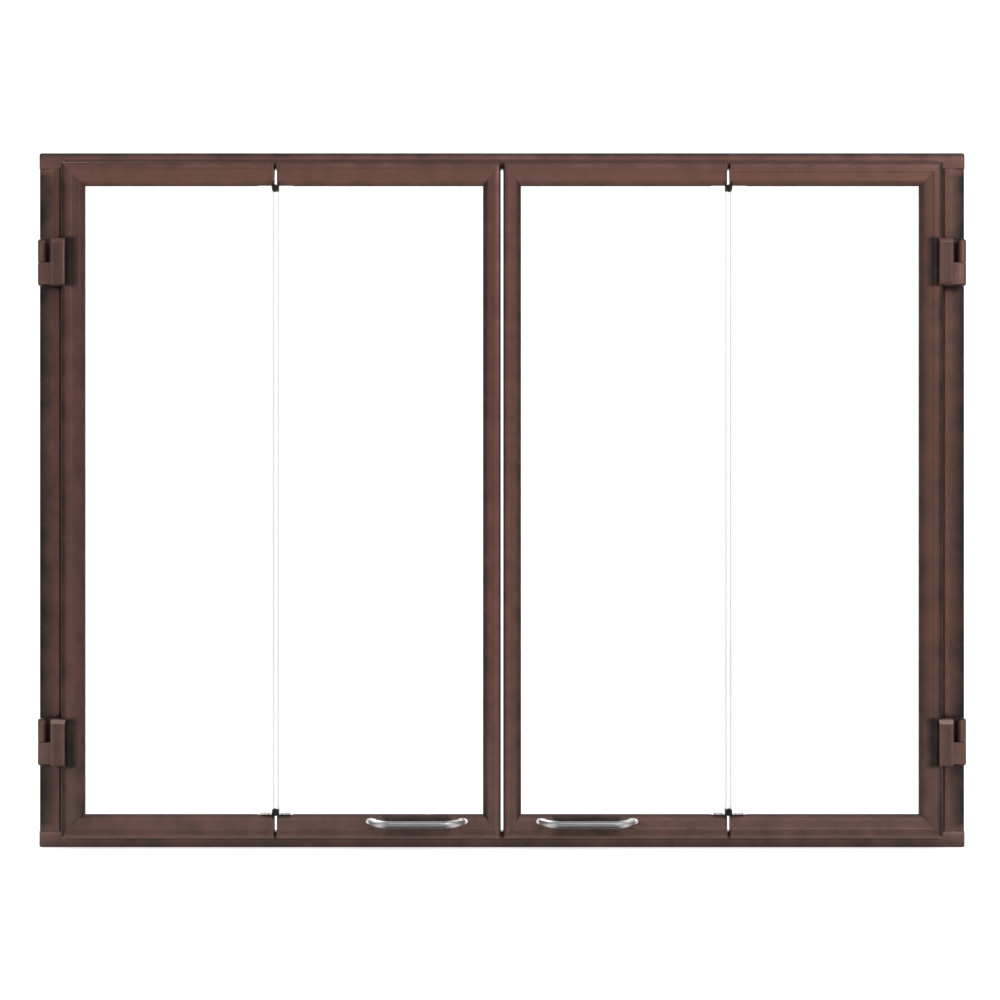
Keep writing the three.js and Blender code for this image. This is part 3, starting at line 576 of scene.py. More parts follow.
def carried(
    section, length, start_slope, end_slope, stops, spots=(), spot_depth=8, plain_ends=0
):
    """The section carried along z from 0 to length. A mitre moves each end point in by its u
    times that end's slope: z = u * slope at the start, length - u * slope at the end. Each spot
    (z, half length, fade, u from, u to, dark) is painted shade: it darkens the finish where a
    hinge block or the handle casts its shadow. It fades out beyond its half length, and over
    SPOT_FADE in u, and lies in front of spot_depth. Plain ends lose the pattern of the stops over
    that length."""
    u, v = section.T
    low = u * start_slope + SEAM
    high = length - u * end_slope - SEAM
    reaches = [(z, half + fade * t) for z, half, fade, *_ in spots for t in (0, 0.35, 0.7, 1)]
    between = [z + end * reach for z, reach in reaches for end in (-1, 1)]
    ends = [plain_ends * share for share in (0.3, 1)] if plain_ends else []
    between = np.unique([*between, length / 2, *ends, *(length - e for e in ends)])[:, None]
    z = np.concatenate([low[None], between + 0 * u, high[None]])
    rings = np.stack([np.broadcast_to(u, z.shape), np.broadcast_to(v, z.shape), z], -1)
    tone = bar_patina_and_shade(section, stops)[None] + 0 * z
    if plain_ends:
        inside = np.clip(np.minimum(z, length - z) / plain_ends, 0, 1)
        plain = PLAIN_PATINA + (tone - PLAIN_PATINA) * inside
        tone = np.where(v < 4, plain, tone)
    for middle, half, fade, u_from, u_to, dark in spots:
        in_z = np.clip(1 - (np.abs(z - middle) - half) / fade, 0, 1)
        in_z = in_z**2 * (3 - 2 * in_z)
        in_u = np.clip(1 - np.maximum(u_from - u, u - u_to) / SPOT_FADE, 0, 1)
        in_v = np.clip((spot_depth - v) / 0.4, 0, 1)
        tone = np.maximum(tone, dark * in_z * in_u * in_v)
    return skinned(rings, tone)


def laid(surface, x_axis, y_axis, z_axis, origin):
    """The surface with its own x, y and z carried onto the three axes, from the origin."""
    axes = np.array([x_axis, y_axis, z_axis], float)
    return surface[0] @ axes + np.array(origin, float), *surface[1:]


# Patina across the front of each bar, as (u, patina) from its outer edge inwards. Its dark
# grooves and edges are partly the rubbed finish and partly painted shade, as on the stile's
# outer edge. Stops below 0, on the sill and in the jamb's groove, are painted fill light, and
# head and sill, and top and bottom rails, take different stops for the light that falls on them.
JAMB_STOPS = [
    (0, 0.9), (4, 0.95), (8, 0.97), (12, 0.95), (14.5, 0.75), (16.5, 0.35), (21, 0.05),
    (22.5, -0.3), (25.5, -0.3), (32, 0),
]
HEAD_STOPS = [(0, 1), (3, 0.6), (6, 0.38), (8, 0.05), (17.5, 0)]
SILL_STOPS = [(0, 0.4), (2.5, 0.4), (4.5, 0.6), (7, 0.2), (10, -0.12), (17.5, -0.15)]
STILE_STOPS = [
    (0, 0.85), (4.5, 0.8), (6.5, 0.4), (9, 0.28), (13, 0.28), (17, 0.25), (19, 0.45),
    (20.5, 0.5), (25.4, 0.6),
]
RAIL_STOPS = [
    (0, 0.5), (3, 0.48), (6, 0.32), (8, 0.18), (10.5, 0.05), (19, 0.03), (21, 0.1),
    (25.4, 0.35),
]
LOW_RAIL_STOPS = [
    (0, 0), (3, 0.12), (6, 0.42), (9, 0.38), (12, 0.15), (14, 0.02), (19, 0.05), (21, 0.3),
    (25.4, 0.6),
]
LEAD_STOPS = [
    (0, 0.8), (1.5, 0.5), (4, 0.2), (5.5, 0.1), (7.2, 0.1), (8.2, 0.2), (13, 0.2),
    (14.6, 0.5), (19, 0.95),
]


def head_member(stops):
    """Channel between two closed end blocks whose corners are rounded as seen from above and
    from the room: at a distance d from the end, v and u are at least r - sqrt(r^2 - (r - d)^2),
    each with its own r. The strip that the doors cover carries painted shade, dark all over."""
    half = FRAME_HALF_WIDTH
    section = head_section()
    tone = bar_patina_and_shade(section, stops)
    reach = HEAD_END_ROUND
    u, v = section.T
    right_half = np.array([0, DOOR_EDGE_X - 3, DOOR_EDGE_X, half - reach])
    x = np.concatenate([-right_half[:0:-1], right_half])[:, None]
    across = np.broadcast_to(FRAME_HALF_HEIGHT - u, (len(x), len(u)))
    depth = np.broadcast_to(v, across.shape)
    # Painted shade on the strip behind the doors, which shows through the gaps between them
    tone = np.where((np.abs(x) < DOOR_EDGE_X - 2) & (across < DOOR_HALF_HEIGHT + 0.5), 1, tone)
    channel = skinned(np.stack([np.broadcast_to(x, across.shape), depth, across], -1), tone)
    solid = rounded([
        (0.0, FRAME_DEPTH, 0.4),
        (0.0, 1.9, 1.5),
        (7, 0, 3),
        (HEAD_FACE, 0, 0.6),
        (HEAD_FACE, FRAME_DEPTH, 0.4),
    ])
    u, v = solid.T
    angle = np.linspace(0, np.pi / 2, 9)[:, None]
    d = reach * (1 - np.cos(angle))
    v = np.maximum(v, reach * (1 - np.sin(angle)))
    corner = np.clip(HEAD_CORNER_ROUND - d, 0, None)
    u = np.maximum(u, HEAD_CORNER_ROUND - np.sqrt(HEAD_CORNER_ROUND**2 - corner**2))
    rings = np.stack([half - d + 0 * v, v, FRAME_HALF_HEIGHT - u + 0 * v], -1)
    right = skinned(rings, bar_patina_and_shade(solid, stops)[None, :])
    left = moved(right, scale=(-1, 1, 1))
    return merged(channel, right, left)


def jamb_member():
    """Jamb between head and sill, with painted shade beside its hinges."""
    length = 2 * (FRAME_HALF_HEIGHT - HEAD_FACE) - 0.06
    spots = [(length / 2 + z, LEAF_HALF, 6, 2, 30, 0.95) for z in HINGE_Z.values()]
    bar = carried(jamb_section(), length, 0, 0, JAMB_STOPS, spots, FACE_WALL, plain_ends=9)
    return laid(bar, (-1, 0, 0), (0, 1, 0), (0, 0, 1), (FRAME_HALF_WIDTH, 0, -length / 2))


def stile(edge_x, towards, face, stops, spots=()):
    """Upright stile, mitred at both ends. Its glass lies towards +1 or -1 along x."""
    length, slope = 2 * DOOR_HALF_HEIGHT, RAIL_FACE / face
    bar = carried(door_section(face), length, slope, slope, stops, spots)
    return laid(bar, (towards, 0, 0), (0, 1, 0), (0, 0, 1), (edge_x, DOOR_FRONT, -DOOR_HALF_HEIGHT))


def rail(edge_x, stile_face, stops, spots=()):
    """Top rail from its square end at the fold to its mitre at the stile."""
    towards = 1 if edge_x > FOLD_X else -1
    start = FOLD_X + towards * RAIL_END
    slope = stile_face / RAIL_FACE
    bar = carried(door_section(RAIL_FACE), abs(edge_x - start), 0, slope, stops, spots)
    return laid(bar, (0, 0, -1), (0, 1, 0), (towards, 0, 0), (start, DOOR_FRONT, DOOR_HALF_HEIGHT))


# ---- Glass and its bead ----------------------------------------------------------------------


def pane(x0, x1):
    """Pane whose upright edges are ground round: a rounded section in plan carried from bottom
    to top. The tint of an edge falls off inwards: 0.8 * (1 - distance from the edge / 4)."""
    y0, y1 = DOOR_FRONT + GLASS_FRONT, DOOR_FRONT + GLASS_FRONT + GLASS_THICKNESS
    steps = 8
    r = GLASS_EDGE_ROUND
    plan = divided(rounded([(x0, y0, r), (x1, y0, r), (x1, y1, r), (x0, y1, r)], steps), 2)
    top = RAIL_INNER_Z + GLASS_BITE
    z = np.array([-top, 0, top])[:, None]
    x, y = np.broadcast_to(plan[:, 0], (3, len(plan))), np.broadcast_to(plan[:, 1], (3, len(plan)))
    inside = np.minimum(plan[:, 0] - x0, x1 - plan[:, 0]) / 4
    tint = 0.8 * np.clip(1 - inside, 0, 1)
    return skinned(np.stack([x, y, np.broadcast_to(z, x.shape)], -1), tint)


def glazing_bead(fold_x, stile_x, behind):
    """Quarter-round bead along the top rail, the stile and the bottom rail. Each corner of its
    path moves the section along both inward directions at once, which mitres it."""
    plane = DOOR_FRONT + GLASS_FRONT + (GLASS_THICKNESS if behind else 0)
    away, size = (1, BACK_BEAD) if behind else (-1, FRONT_BEAD)
    angle = np.linspace(0, np.pi / 2, 7)
    s = np.concatenate([[0], size * np.cos(angle)])
    t = np.concatenate([[0], size * np.sin(angle)])
    inward = np.sign(fold_x - stile_x)
    setback = BACK_SETBACK if behind else 0
    stile_x, z = stile_x - inward * setback, RAIL_INNER_Z + setback
    path = np.array([[fold_x, z], [stile_x, z], [stile_x, -z], [fold_x, -z]], float)
    into = np.array([[0, -1], [inward, -1], [inward, 1], [0, 1]], float)
    flat = path[:, None] + s[None, :, None] * into[:, None]
    depth = np.broadcast_to(plane + away * t, flat.shape[:2])
    return skinned(np.stack([flat[..., 0], depth, flat[..., 1]], -1))


# ---- Side hinges -----------------------------------------------------------------------------


def knuckle(low, high, radius, bore, chamfer=0.5):
    """Tube with chamfered rims, turned about the hinge axis."""
    profile = [
        (bore, low),
        (radius - chamfer, low),
        (radius, low + chamfer),
        (radius, high - chamfer),
        (radius - chamfer, high),
        (bore, high),
    ]
    return turned(profile, 48)


def headed_pin(radius, head, rise, low, high):
    """Pin with a domed head at each end: dome radius head * cos a at height rise * sin a."""
    angle = np.linspace(0, np.pi / 2, 7)
    dome_r, dome_h = head * np.cos(angle), rise * np.sin(angle)
    dome_r[-1] = 0
    upper = np.stack([dome_r, high + dome_h], 1)
    lower = np.stack([dome_r[::-1], low - dome_h[::-1]], 1)
    profile = np.concatenate([lower, [(radius, low), (radius, high)], upper])
    tone = np.interp(profile[:, 0], [0, head * 0.8, head], [0, 0.2, 0.8])[:, None]
    return turned(profile, 40, tone)


def frame_leaf():
    """Plate on the frame's face, its rib and the upper knuckle. The plate is painted dark all
    over as painted shade, where it shows through the slot beside the knuckle."""
    back = -HINGE_Y - GAP
    low, high = -LEAF_HALF, LEAF_HALF
    from_x, to_x = -LEAF_WIDTH, LEAF_LIP
    corners = [(from_x, low, 2.5), (to_x, low, 1), (to_x, high, 1), (from_x, high, 2.5)]
    plate = slab(rounded(corners, 5), back - LEAF_THICKNESS, back, 0.4, patina_and_shade=1.0)
    rib = block((-3, LEAF_LIP), (2.5, back - 2), (KNUCKLE_GAP / 2, BARREL_HALF), 0.4, 0.2)
    return merged(plate, rib, knuckle(KNUCKLE_GAP / 2, BARREL_HALF, BARREL_RADIUS, BARREL_BORE))


def soft_chamfer(distance, size, length, blunt=0.45):
    """How far a chamfered end draws its front edge back at a distance from the end: the larger
    of 0 and size * (1 - distance / length), with the change between them rounded off."""
    slope = size * (1 - distance / length)
    return (slope + np.sqrt(slope**2 + blunt**2)) / 2


def door_leaf(top_highlight):
    """Block that clasps the stile's edge, its rib and the lower knuckle. The block is its plan
    carried up, with the front drawn back towards both ends. Its edges are lighter, partly rubbed
    wear and partly painted highlight, and its upper end gets a painted highlight of the given
    strength, where light falls on its top."""
    door_front = DOOR_FRONT - HINGE_Y
    front, back, stile_side = door_front - BLOCK_PROUD, BARREL_RADIUS, DOOR_EDGE_X + GAP - HINGE_X
    plan = rounded([
        (BLOCK_INNER, door_front - GAP, 0.3),
        (BLOCK_INNER, front, 2.4),
        (BLOCK_OUTER, front, 2.4),
        (BLOCK_OUTER, back, 0.8),
        (stile_side, back, 0.5),
        (stile_side, door_front - GAP, 0.3),
    ], 6)
    plan = divided(plan, 1)
    ease = LEAF_HALF - np.concatenate([[0, 0.12, 0.4], np.linspace(1, 6.5, 9)])
    z = np.concatenate([-ease, [0], ease[::-1]])[:, None]
    drawn_top = soft_chamfer(LEAF_HALF - z, 4, 4)
    drawn_low = soft_chamfer(LEAF_HALF + z, 4, 2.8)
    x = np.broadcast_to(plan[:, 0], (len(z), len(plan)))
    y = np.maximum(plan[:, 1], front + np.maximum(drawn_top, drawn_low))
    rings = np.stack([x, y, np.broadcast_to(z, x.shape)], -1)
    stops = [BLOCK_INNER, BLOCK_INNER + 5.5, BLOCK_OUTER - 5, BLOCK_OUTER]
    across = np.interp(x, stops, [0.05, 0.4, 0.5, 0])
    upper = np.clip((z - LEAF_HALF + 5.5) / 2, 0, 1)
    body = skinned(rings, across * (1 - upper) - top_highlight * upper)
    rib = block((BLOCK_OUTER - 1, 0), (-5, 3.5), (-BARREL_HALF, -KNUCKLE_GAP / 2), 0.4, 0.3)
    return merged(body, rib, knuckle(-BARREL_HALF, -KNUCKLE_GAP / 2, BARREL_RADIUS, BARREL_BORE))


# ---- Fold hinges -----------------------------------------------------------------------------


def fold_leaf(towards, low, high, stops):
    """Leaf on the end of a rail, drawn round the fold axis with z = 0 at the rail's inner edge:
    end plate of the rail's section, ear and one knuckle."""
    far = RAIL_END - GAP / 2
    near = far - FOLD_PLATE
    section = door_section(RAIL_FACE)
    x = np.array([near, far])[:, None] * towards
    rings = np.broadcast_arrays(x, section[None, :, 1], RAIL_FACE - section[None, :, 0])
    plate = skinned(np.stack(rings, -1), bar_patina_and_shade(section, stops))

    def span(a, b):
        """From a to b on this leaf's side, the smaller first."""
        return sorted((a * towards, b * towards))

    ear = block(span(near, far), FOLD_EAR_DEPTH, (low, 1), 0.3, 0.4)
    arm = block(span(0, far - 0.2), (0.2, 3.2), (low, high), 0.3, 0.3)
    return merged(plate, toned(merged(ear, arm, knuckle(low, high, 3.25, 1.65, 0.3)), 1))


def fold_toe(towards):
    """Bare steel foot of a lower fold leaf, along the rail beside the glass: three low pads."""
    pads = []
    for start, length, height in TOE_PADS:
        x = sorted((start * towards, (start + length) * towards))
        pads.append(block(x, FOLD_EAR_DEPTH, (-GAP - height, -GAP), 1.2, 0.7))
    return merged(*pads)


# ---- Handle ----------------------------------------------------------------------------------


def smooth_path(points, per_span):
    """Catmull-Rom curve through the points: on each span, half of 2 p1 + (p2 - p0) t
    + (2 p0 - 5 p1 + 4 p2 - p3) t^2 + (3 p1 - p0 - 3 p2 + p3) t^3."""
    p = np.array(points, float)
    p = np.concatenate([[2 * p[0] - p[1]], p, [2 * p[-1] - p[-2]]])
    p0, p1, p2, p3 = (p[i : len(p) - 3 + i, None] for i in range(4))
    t = np.linspace(0, 1, per_span, endpoint=False)[None, :, None]
    curve = 2 * p1 + (p2 - p0) * t + (2 * p0 - 5 * p1 + 4 * p2 - p3) * t**2
    curve = (curve + (3 * p1 - p0 - 3 * p2 + p3) * t**3) / 2
    return np.concatenate([curve.reshape(-1, p.shape[1]), p[-2][None]])


def handle():
    """Round bar that leaves each foot at a slant and runs straight across: circles set square to
    the path, point = path + r cos a * n + r sin a * z, where n is the path's normal in plan. The
    radius swells from the legs to the grip. Each foot is a half ellipsoid with a rolled rim."""
    leg = [(0, 1), (1.5, 5.7), (5.5, 14), (11.5, 21.8), (19, 25.5), (27, HANDLE_REACH)]
    right = [(HANDLE_FOOT - x, -y) for x, y in leg]
    left = [(-x, y) for x, y in reversed(right)]
    path = smooth_path([*right, (0, -HANDLE_REACH), *left], 7)
    tangent = np.gradient(path, axis=0)
    tangent /= np.linalg.norm(tangent, axis=1)[:, None]
    normal = np.stack([-tangent[:, 1], tangent[:, 0]], 1)
    grip = np.clip((-path[:, 1] - 3) / 18, 0, 1)
    radius = (HANDLE_RADIUS - 0.35 + 0.35 * grip**2 * (3 - 2 * grip))[:, None]
    angle = np.linspace(0, 2 * np.pi, 40, endpoint=False)[None]
    x = path[:, :1] + radius * np.cos(angle) * normal[:, :1]
    y = path[:, 1:] + radius * np.cos(angle) * normal[:, 1:]
    up = np.sin(angle)
    # Painted light on the bar: a painted highlight along its upper middle and on the legs, painted
    # shade below it and a little on top
    above, below = np.clip(2 * up - 1, 0, 1), np.clip((0.05 - up) / 0.8, 0, 1)
    shade = 0.66 + 0.14 * above + 0.34 * below
    along = np.clip((HANDLE_FOOT - np.abs(path[:, :1]) - 7) / 13, 0, 1)
    shade = shade * (0.06 + 0.94 * along**2 * (3 - 2 * along))
    bar = skinned(np.stack([x, y, radius * np.sin(angle)], -1), shade)
    rise = np.linspace(0, np.pi / 2, 9)
    dome = np.stack([np.cos(rise), np.sin(rise) ** 1.15], 1)
    dome[-1, 0] = 0
    profile = np.concatenate([[(0, -0.02), (0.95, 0), (1, 0.1)], dome[1:] * [1, 0.9] + [0, 0.1]])
    pad = turned(profile, 48)
    pad = laid(pad, (FOOT_LENGTH / 2, 0, 0), (0, 0, FOOT_WIDTH / 2), (0, -FOOT_RISE, 0), (0, 0, 0))
    whole = merged(bar, moved(pad, x=HANDLE_FOOT), moved(pad, x=-HANDLE_FOOT))
    return moved(whole, x=HANDLE_X, y=DOOR_FRONT + 1 - GAP, z=HANDLE_Z)


# ---- Screws ----------------------------------------------------------------------------------


HEAD_RINGS = (1, 1, 0.985, 0.95, 0.88, 0.78, 0.68, 0.58, 0.48, 0.4, 0.3, 0.2, 0.1, 0.0)
CROSS_DEPTH = 0.55  # share of a head's rise


def screw_head(radius, rise):
    """Pan head with a cross recess, about z: height = rise * (1 - (r / R)^4) ^ 0.5, less the
    cross, which is deep where the smaller of |x| and |y| is under its half width and r is inside
    its reach, with sloping walls."""
    r = radius * np.array(HEAD_RINGS)[:, None]
    angle = np.linspace(0, 2 * np.pi, 64, endpoint=False)[None]
    x, y = r * np.cos(angle), r * np.sin(angle)
    dome = rise * np.sqrt(np.clip(1 - (r / radius) ** 4, 0, 1)) + 0 * angle
    narrow = np.minimum(np.abs(x), np.abs(y))
    wall = np.clip((0.17 * radius - narrow) / (0.1 * radius), 0, 1)
    inside = np.clip((0.62 * radius - r) / (0.12 * radius), 0, 1)
    height = dome - CROSS_DEPTH * rise * wall * inside
    height[0] = -0.3
    height[1] = 0.25 * rise
    height[2] = np.maximum(height[2], 0.3 * rise)
    return skinned(np.stack([x, y, height], -1), 0.8 * wall * inside)


def screws(spots, outward, radius, rise):
    """One screw head at each spot, with its top facing outward (x, y or z, with its sign)."""
    axis = {"x": 0, "y": 1, "z": 2}[outward[-1]]
    sign = -1 if outward[0] == "-" else 1
    out = np.eye(3)[axis] * sign
    across = np.eye(3)[(axis + 1) % 3]
    up = np.cross(out, across)
    head = screw_head(radius, rise)
    return merged(*[laid(head, across, up, out, spot) for spot in spots])


# ---- Everything in its place -------------------------------------------------------------------

for level, name, stops in (("top", "frame_head", HEAD_STOPS), ("bottom", "frame_sill", SILL_STOPS)):
    surface = head_member(stops)
    place(f"{name}_bronze", surface, None, level, "frame", FRAME_BRONZE, [name])

for side in SIDES:
    outer, inner = f"{side}_outer_panel", f"{side}_inner_panel"

    def put(name, surface, body, finish, stands_for=(), level="top"):
        """Places a piece on this side."""
        place(name, surface, side, level, body, finish, stands_for)

    jamb = f"frame_jamb_{side}"
    put(f"{jamb}_bronze", jamb_member(), "frame", FRAME_BRONZE, [jamb])

    hinge_stile = f"{side}_outer_hinge_stile"
    # Painted shade on the stile beside each hinge block
    spots = [(DOOR_HALF_HEIGHT + z, LEAF_HALF - 1, 6, 0, 12, 1.0) for z in HINGE_Z.values()]
    surface = stile(DOOR_EDGE_X, -1, RAIL_FACE, STILE_STOPS, spots)
    put(f"{hinge_stile}_bronze", surface, outer, DOOR_BRONZE, [hinge_stile])
    lead_stile = f"{side}_inner_lead_stile"
    surface = stile(LEAD_X, 1, LEAD_STILE_FACE, LEAD_STOPS)
    put(f"{lead_stile}_bronze", surface, inner, DOOR_BRONZE, [lead_stile])

    stile_edge = DOOR_EDGE_X - RAIL_FACE
    lead_edge = LEAD_X + LEAD_STILE_FACE
    glass = f"{side}_outer_glass"
    surface = pane(FOLD_X + PANE_END, stile_edge + GLASS_BITE)
    put(f"{glass}_pane", surface, outer, GLASS, [glass])
    glass = f"{side}_inner_glass"
    surface = pane(LEAD_X + LEAD_SLOT + GAP, FOLD_X - PANE_END)
    put(f"{glass}_pane", surface, inner, GLASS, [glass])
    for what, behind, start in (("front", False, 19), ("back", True, 5.2)):
        bead = glazing_bead(FOLD_X + start, stile_edge, behind)
        put(f"{side}_outer_{what}_bead", bead, outer, SILICONE)
        bead = glazing_bead(FOLD_X - start, lead_edge, behind)
        put(f"{side}_inner_{what}_bead", bead, inner, SILICONE)

    grip = f"{side}_handle"
    put(f"{grip}_nickel", handle(), inner, NICKEL, [grip])
    door_back = DOOR_FRONT + DOOR_THICKNESS
    spots = [(HANDLE_X + x, door_back, HANDLE_Z) for x in (-HANDLE_FOOT, HANDLE_FOOT)]
    put(f"{side}_handle_screws", screws(spots, "+y", 4, 1.5), inner, ZINC)

    for level in LEVELS:
        name = f"{side}_outer_{level}_rail"
        rail_stops = RAIL_STOPS if level == "top" else LOW_RAIL_STOPS
        surface = rail(DOOR_EDGE_X, RAIL_FACE, rail_stops)
        put(f"{name}_bronze", surface, outer, DOOR_BRONZE, [name], level)
        name = f"{side}_inner_{level}_rail"
        handle_at = FOLD_X - RAIL_END - HANDLE_X
        # Painted shadow of the handle on the bottom rail, above and below its bar
        spots = [
            (handle_at, HANDLE_FOOT - 16, 8, 19.5, 23.5, 1.0),
            (handle_at, HANDLE_FOOT - 20, 22, 4, 10, 0.7),
        ]
        spots = spots if level == "bottom" else ()
        surface = rail(LEAD_X, LEAD_STILE_FACE, rail_stops, spots)
        put(f"{name}_bronze", surface, inner, DOOR_BRONZE, [name], level)

        at_fold = {"x": FOLD_X, "y": DOOR_FRONT, "z": RAIL_INNER_Z}
        name = f"fold_leaf_outer_{level}_{side}"
        surface = moved(fold_leaf(1, *FOLD_KNUCKLES["outer"], rail_stops), **at_fold)
        put(f"{name}_bronze", surface, outer, FOLD_BRONZE, [name], level)
        name = f"fold_leaf_inner_{level}_{side}"
        surface = moved(fold_leaf(-1, *FOLD_KNUCKLES["inner"], rail_stops), **at_fold)
        put(f"{name}_bronze", surface, inner, FOLD_BRONZE, [name], level)
        name = f"fold_pin_{level}_{side}"
        surface = moved(toned(headed_pin(1.3, 2.3, 0.9, *FOLD_PIN), 1), **at_fold)
        put(f"{name}_bronze", surface, outer, FOLD_BRONZE, [name], level)

        if level == "bottom":
            for panel, body, towards in (("outer", outer, 1), ("inner", inner, -1)):
                surface = moved(fold_toe(towards), **at_fold)
                put(f"fold_toe_{panel}_{side}", surface, body, ZINC, level=level)

        # Hinges stand the same way up at the top and at the bottom.
        at_hinge = {"x": HINGE_X, "y": HINGE_Y, "z": HINGE_Z[level]}
        name = f"hinge_frame_leaf_{level}_{side}"
        surface = moved(frame_leaf(), **at_hinge)
        put(f"{name}_bronze", surface, "frame", HINGE_BRONZE, [name])
        plate_front = -HINGE_Y - GAP - LEAF_THICKNESS
        spots = [(LEAF_SCREW_X, plate_front, z) for z in (-LEAF_SCREW_Z, LEAF_SCREW_Z)]
        surface = moved(screws(spots, "-y", 3.4, 1.1), **at_hinge)
        put(f"hinge_frame_screws_{level}_{side}", surface, "frame", DARK_BRONZE)
        name = f"hinge_door_leaf_{level}_{side}"
        # The bottom hinges get a painted highlight on the top of their blocks.
        surface = moved(door_leaf(0 if level == "top" else 0.3), **at_hinge)
        put(f"{name}_bronze", surface, outer, HINGE_BRONZE, [name])
        spots = [(BLOCK_OUTER, BLOCK_SCREW_Y, z) for z in (-LEAF_SCREW_Z, LEAF_SCREW_Z)]
        surface = moved(screws(spots, "+x", 2.8, 1.2), **at_hinge)
        put(f"hinge_door_screws_{level}_{side}", surface, outer, DARK_BRONZE)
        name = f"hinge_pin_{level}_{side}"
        pin_half = BARREL_HALF + 0.2
        surface = moved(headed_pin(2.5, 4.6, 1.8, -pin_half, pin_half), **at_hinge)
        put(f"{name}_bronze", surface, outer, DARK_BRONZE, [name])

# Small fasteners and pole plates of what is shown as it is
strike_back = DOOR_FRONT + DOOR_THICKNESS + GAP + STRIKE_THICKNESS
strike_z = RAIL_INNER_Z + STRIKE_MIDDLE
ear_low = FRAME_HALF_HEIGHT - HEAD_FACE - GAP - CATCH_EAR_THICKNESS
key_right = FRAME_HALF_WIDTH - SHEET - GAP
key_top = FRAME_HALF_HEIGHT - SHEET - GAP
key_front = FRAME_DEPTH - SHEET - GAP - KEY_THICKNESS
head_leg_z = (key_top + FRAME_HALF_HEIGHT - HEAD_LIP + GAP) / 2
jamb_leg_x = (key_right + FRAME_HALF_WIDTH - JAMB_LIP + GAP) / 2
strap_x = FRAME_HALF_WIDTH - JAMB_FACE - GAP - SHEET

for side in SIDES:
    spots = [(CATCH_X + x, strike_back, strike_z) for x in (-STRIKE_SCREW_X, STRIKE_SCREW_X)]
    heads = screws(spots, "+y", 2.2, 0.2)
    place(f"strike_screws_{side}", heads, side, "top", f"{side}_inner_panel", ZINC)
    spots = [(CATCH_X + x, CATCH_SCREW_Y, ear_low) for x in (-CATCH_SCREW_X, CATCH_SCREW_X)]
    heads = screws(spots, "-z", 2.6, 1)
    place(f"catch_screws_{side}", heads, side, "top", "frame", ZINC)
    tall = (ear_low - POLE_HEIGHT - 0.05, ear_low - 0.05)
    middles = (CATCH_X - POLE_X, CATCH_X + POLE_X)
    poles = [block((x - POLE_HALF, x + POLE_HALF), (-0.45, 1.5), tall, 0.2, 0.1) for x in middles]
    place(f"magnet_poles_{side}", merged(*poles), side, "top", "frame", ZINC)
    for level in LEVELS:
        spots = [(key_right - KEY_LEG * share, key_front, head_leg_z) for share in KEY_SCREWS]
        spots += [(jamb_leg_x, key_front, key_top - KEY_LEG * share) for share in KEY_SCREWS]
        heads = screws(spots, "-y", 3.4, 1.3)
        place(f"corner_key_screws_{level}_{side}", heads, side, level, "frame", ZINC)
        heights = (BRACKET_Z - BRACKET_SCREW_Z, BRACKET_Z + BRACKET_SCREW_Z)
        heads = screws([(strap_x, BRACKET_SCREW_Y, z) for z in heights], "-x", 3.4, 1.3)
        place(f"bracket_screws_{level}_{side}", heads, side, level, "frame", ZINC)

# Nodes whose solids are shown as they are
KEPT = {
    "corner_key": ZINC,
    "mounting_bracket": STOVE_BLACK,
    "magnet_catch": HOUSING,
    "strike_plate": ZINC,
}
for name, cad_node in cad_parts.items():
    finish = next((m for key, m in KEPT.items() if name.startswith(key)), None)
    if finish is not None:
        cad_node.data.materials.clear()
        cad_node.data.materials.append(finish)

# ---- Studio ------------------------------------------------------------------------------------

# In metres
FLOOR_HALF = 12.0
BACK_WALL_Y = 5.0
SWEEP_RADIUS = 1.2
WALL_TOP = 6.0


def backdrop():
    """Pale floor, lit from below, that sweeps up into a wall: flat to the start of the sweep at
    y0, a quarter circle of radius r with point (y0 + r sin a, r (1 - cos a)), straight up."""
    angle = np.linspace(0, np.pi / 2, 25)
    r, y0 = SWEEP_RADIUS, BACK_WALL_Y - SWEEP_RADIUS
    y = np.concatenate([[-FLOOR_HALF], y0 + r * np.sin(angle), [BACK_WALL_Y]])
    z = np.concatenate([[0], r * (1 - np.cos(angle)), [WALL_TOP]])
    x = np.array([-FLOOR_HALF, FLOOR_HALF])
    grid = np.broadcast_arrays(x[None, :], y[:, None], z[:, None])
    points = np.stack(grid, -1).reshape(-1, 3)
    index = np.arange(len(points)).reshape(-1, 2)
    quads = np.stack([index[:-1, 0], index[:-1, 1], index[1:, 1], index[1:, 0]], 1)
    mesh = bpy.data.meshes.new("studio_floor")
    mesh.from_pydata(points.tolist(), [], quads.tolist())
    mesh.polygons.foreach_set("use_smooth", np.ones(len(mesh.polygons), bool))
    material, tree, shader, at = new_finish("pale_floor")
    shade = blended(tree, grain(tree, at, 2, 2), (0.44, 0.44, 0.44), (0.46, 0.46, 0.46))
    wire(tree, shader, {
        "Base Color": shade,
        "Emission Color": (1, 1, 1, 1),
        "Emission Strength": 0.72,
        "Roughness": 0.9,
        "Specular IOR Level": 0.1,
    })
    mesh.materials.append(material)
    floor = bpy.data.objects.new("studio_floor", mesh)
    bpy.context.scene.collection.objects.link(floor)


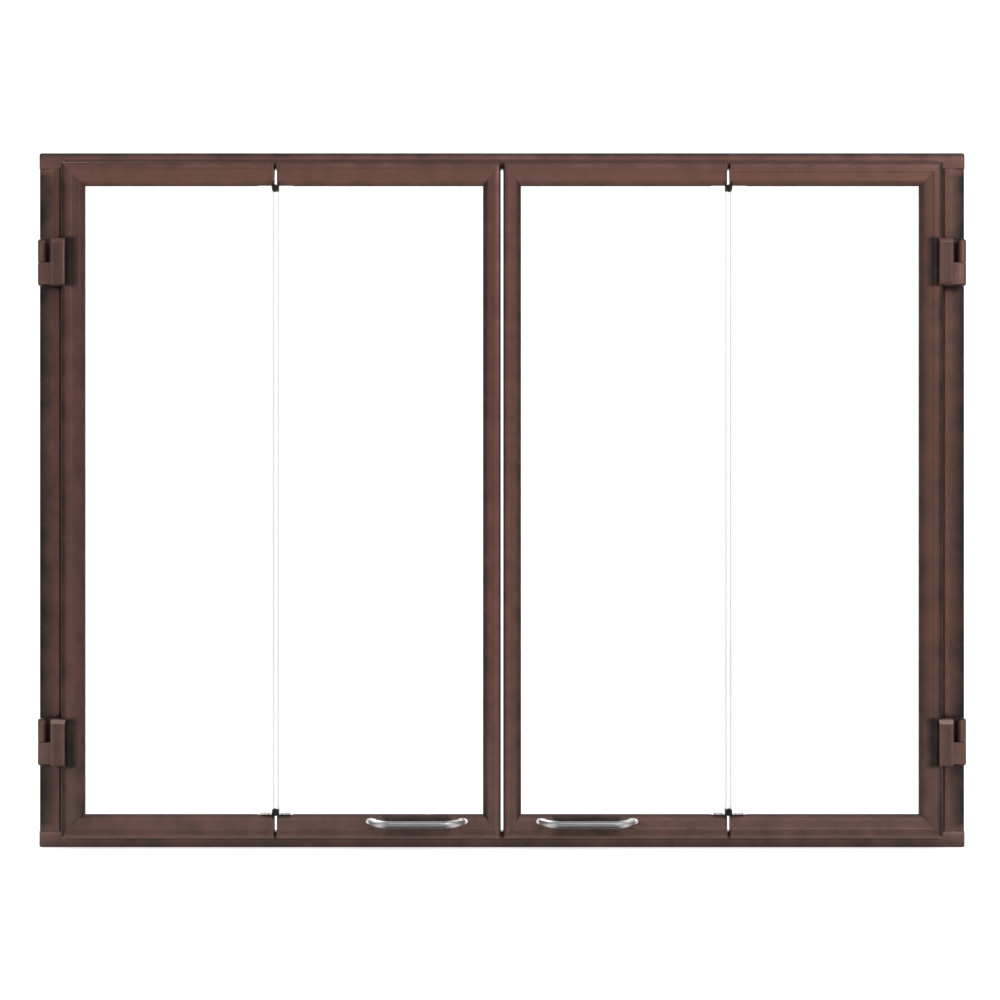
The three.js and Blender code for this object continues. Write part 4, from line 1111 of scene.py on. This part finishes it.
def softbox(name, place_at, look_at, width, height, watts, spread=180):
    """Rectangular area light at a place, turned to face a point, that spreads over an angle."""
    lamp = bpy.data.lights.new(name, "AREA")
    lamp.shape = "RECTANGLE"
    lamp.size, lamp.size_y, lamp.energy, lamp.spread = width, height, watts, math.radians(spread)
    holder = bpy.data.objects.new(name, lamp)
    bpy.context.scene.collection.objects.link(holder)
    from_there = np.array(look_at, float) - np.array(place_at, float)
    holder.location = place_at
    holder.rotation_euler = Vector(from_there).to_track_quat("-Z", "Y").to_euler()


backdrop()
softbox("overhead", (0.3, -1.6, 2.7), (0, -0.2, 0.2), 3.4, 2.2, 50)
softbox("key", (1.9, -2.4, 1.8), (0, 0, 0.4), 0.7, 0.7, 50)
softbox("front_left", (-2.5, -2.4, 1.2), (0, 0, 0.4), 1.4, 2.0, 12)
softbox("behind", (-1.6, 2.1, 2.4), (0, 0, 0.4), 1.6, 1.2, 45)
softbox("wall_wash", (0, 3.2, 3.4), (0, 5.4, 1.2), 5.0, 0.8, 60, spread=110)

world = bpy.data.worlds.new("studio_air")
world.use_nodes = True
air = world.node_tree.nodes["Background"]
wire(world.node_tree, air, {"Color": (1, 1, 1, 1), "Strength": 0.6})
bpy.context.scene.world = world
bpy.context.scene.view_settings.view_transform = "Standard"

# The photograph is square on and 1000 pixels wide, with 1.0965 mm to a pixel in the middle of
# the frame's depth. These are in metres.
CAMERA_DISTANCE = 2.5
PHOTO_WIDTH = 1.0965
PHOTO_CENTRE_X = -0.0022
PHOTO_CENTRE_Z = 0.3812

lens = bpy.data.cameras.new("photo_camera")
lens.sensor_width = 36
lens.lens = lens.sensor_width * CAMERA_DISTANCE / PHOTO_WIDTH
lens.clip_end = 50
camera = bpy.data.objects.new("photo_camera", lens)
camera.location = (PHOTO_CENTRE_X, -FRAME_DEPTH / 2000 - CAMERA_DISTANCE, PHOTO_CENTRE_Z)
camera.rotation_euler = (math.pi / 2, 0, 0)
bpy.context.scene.collection.objects.link(camera)
bpy.context.scene.camera = camera
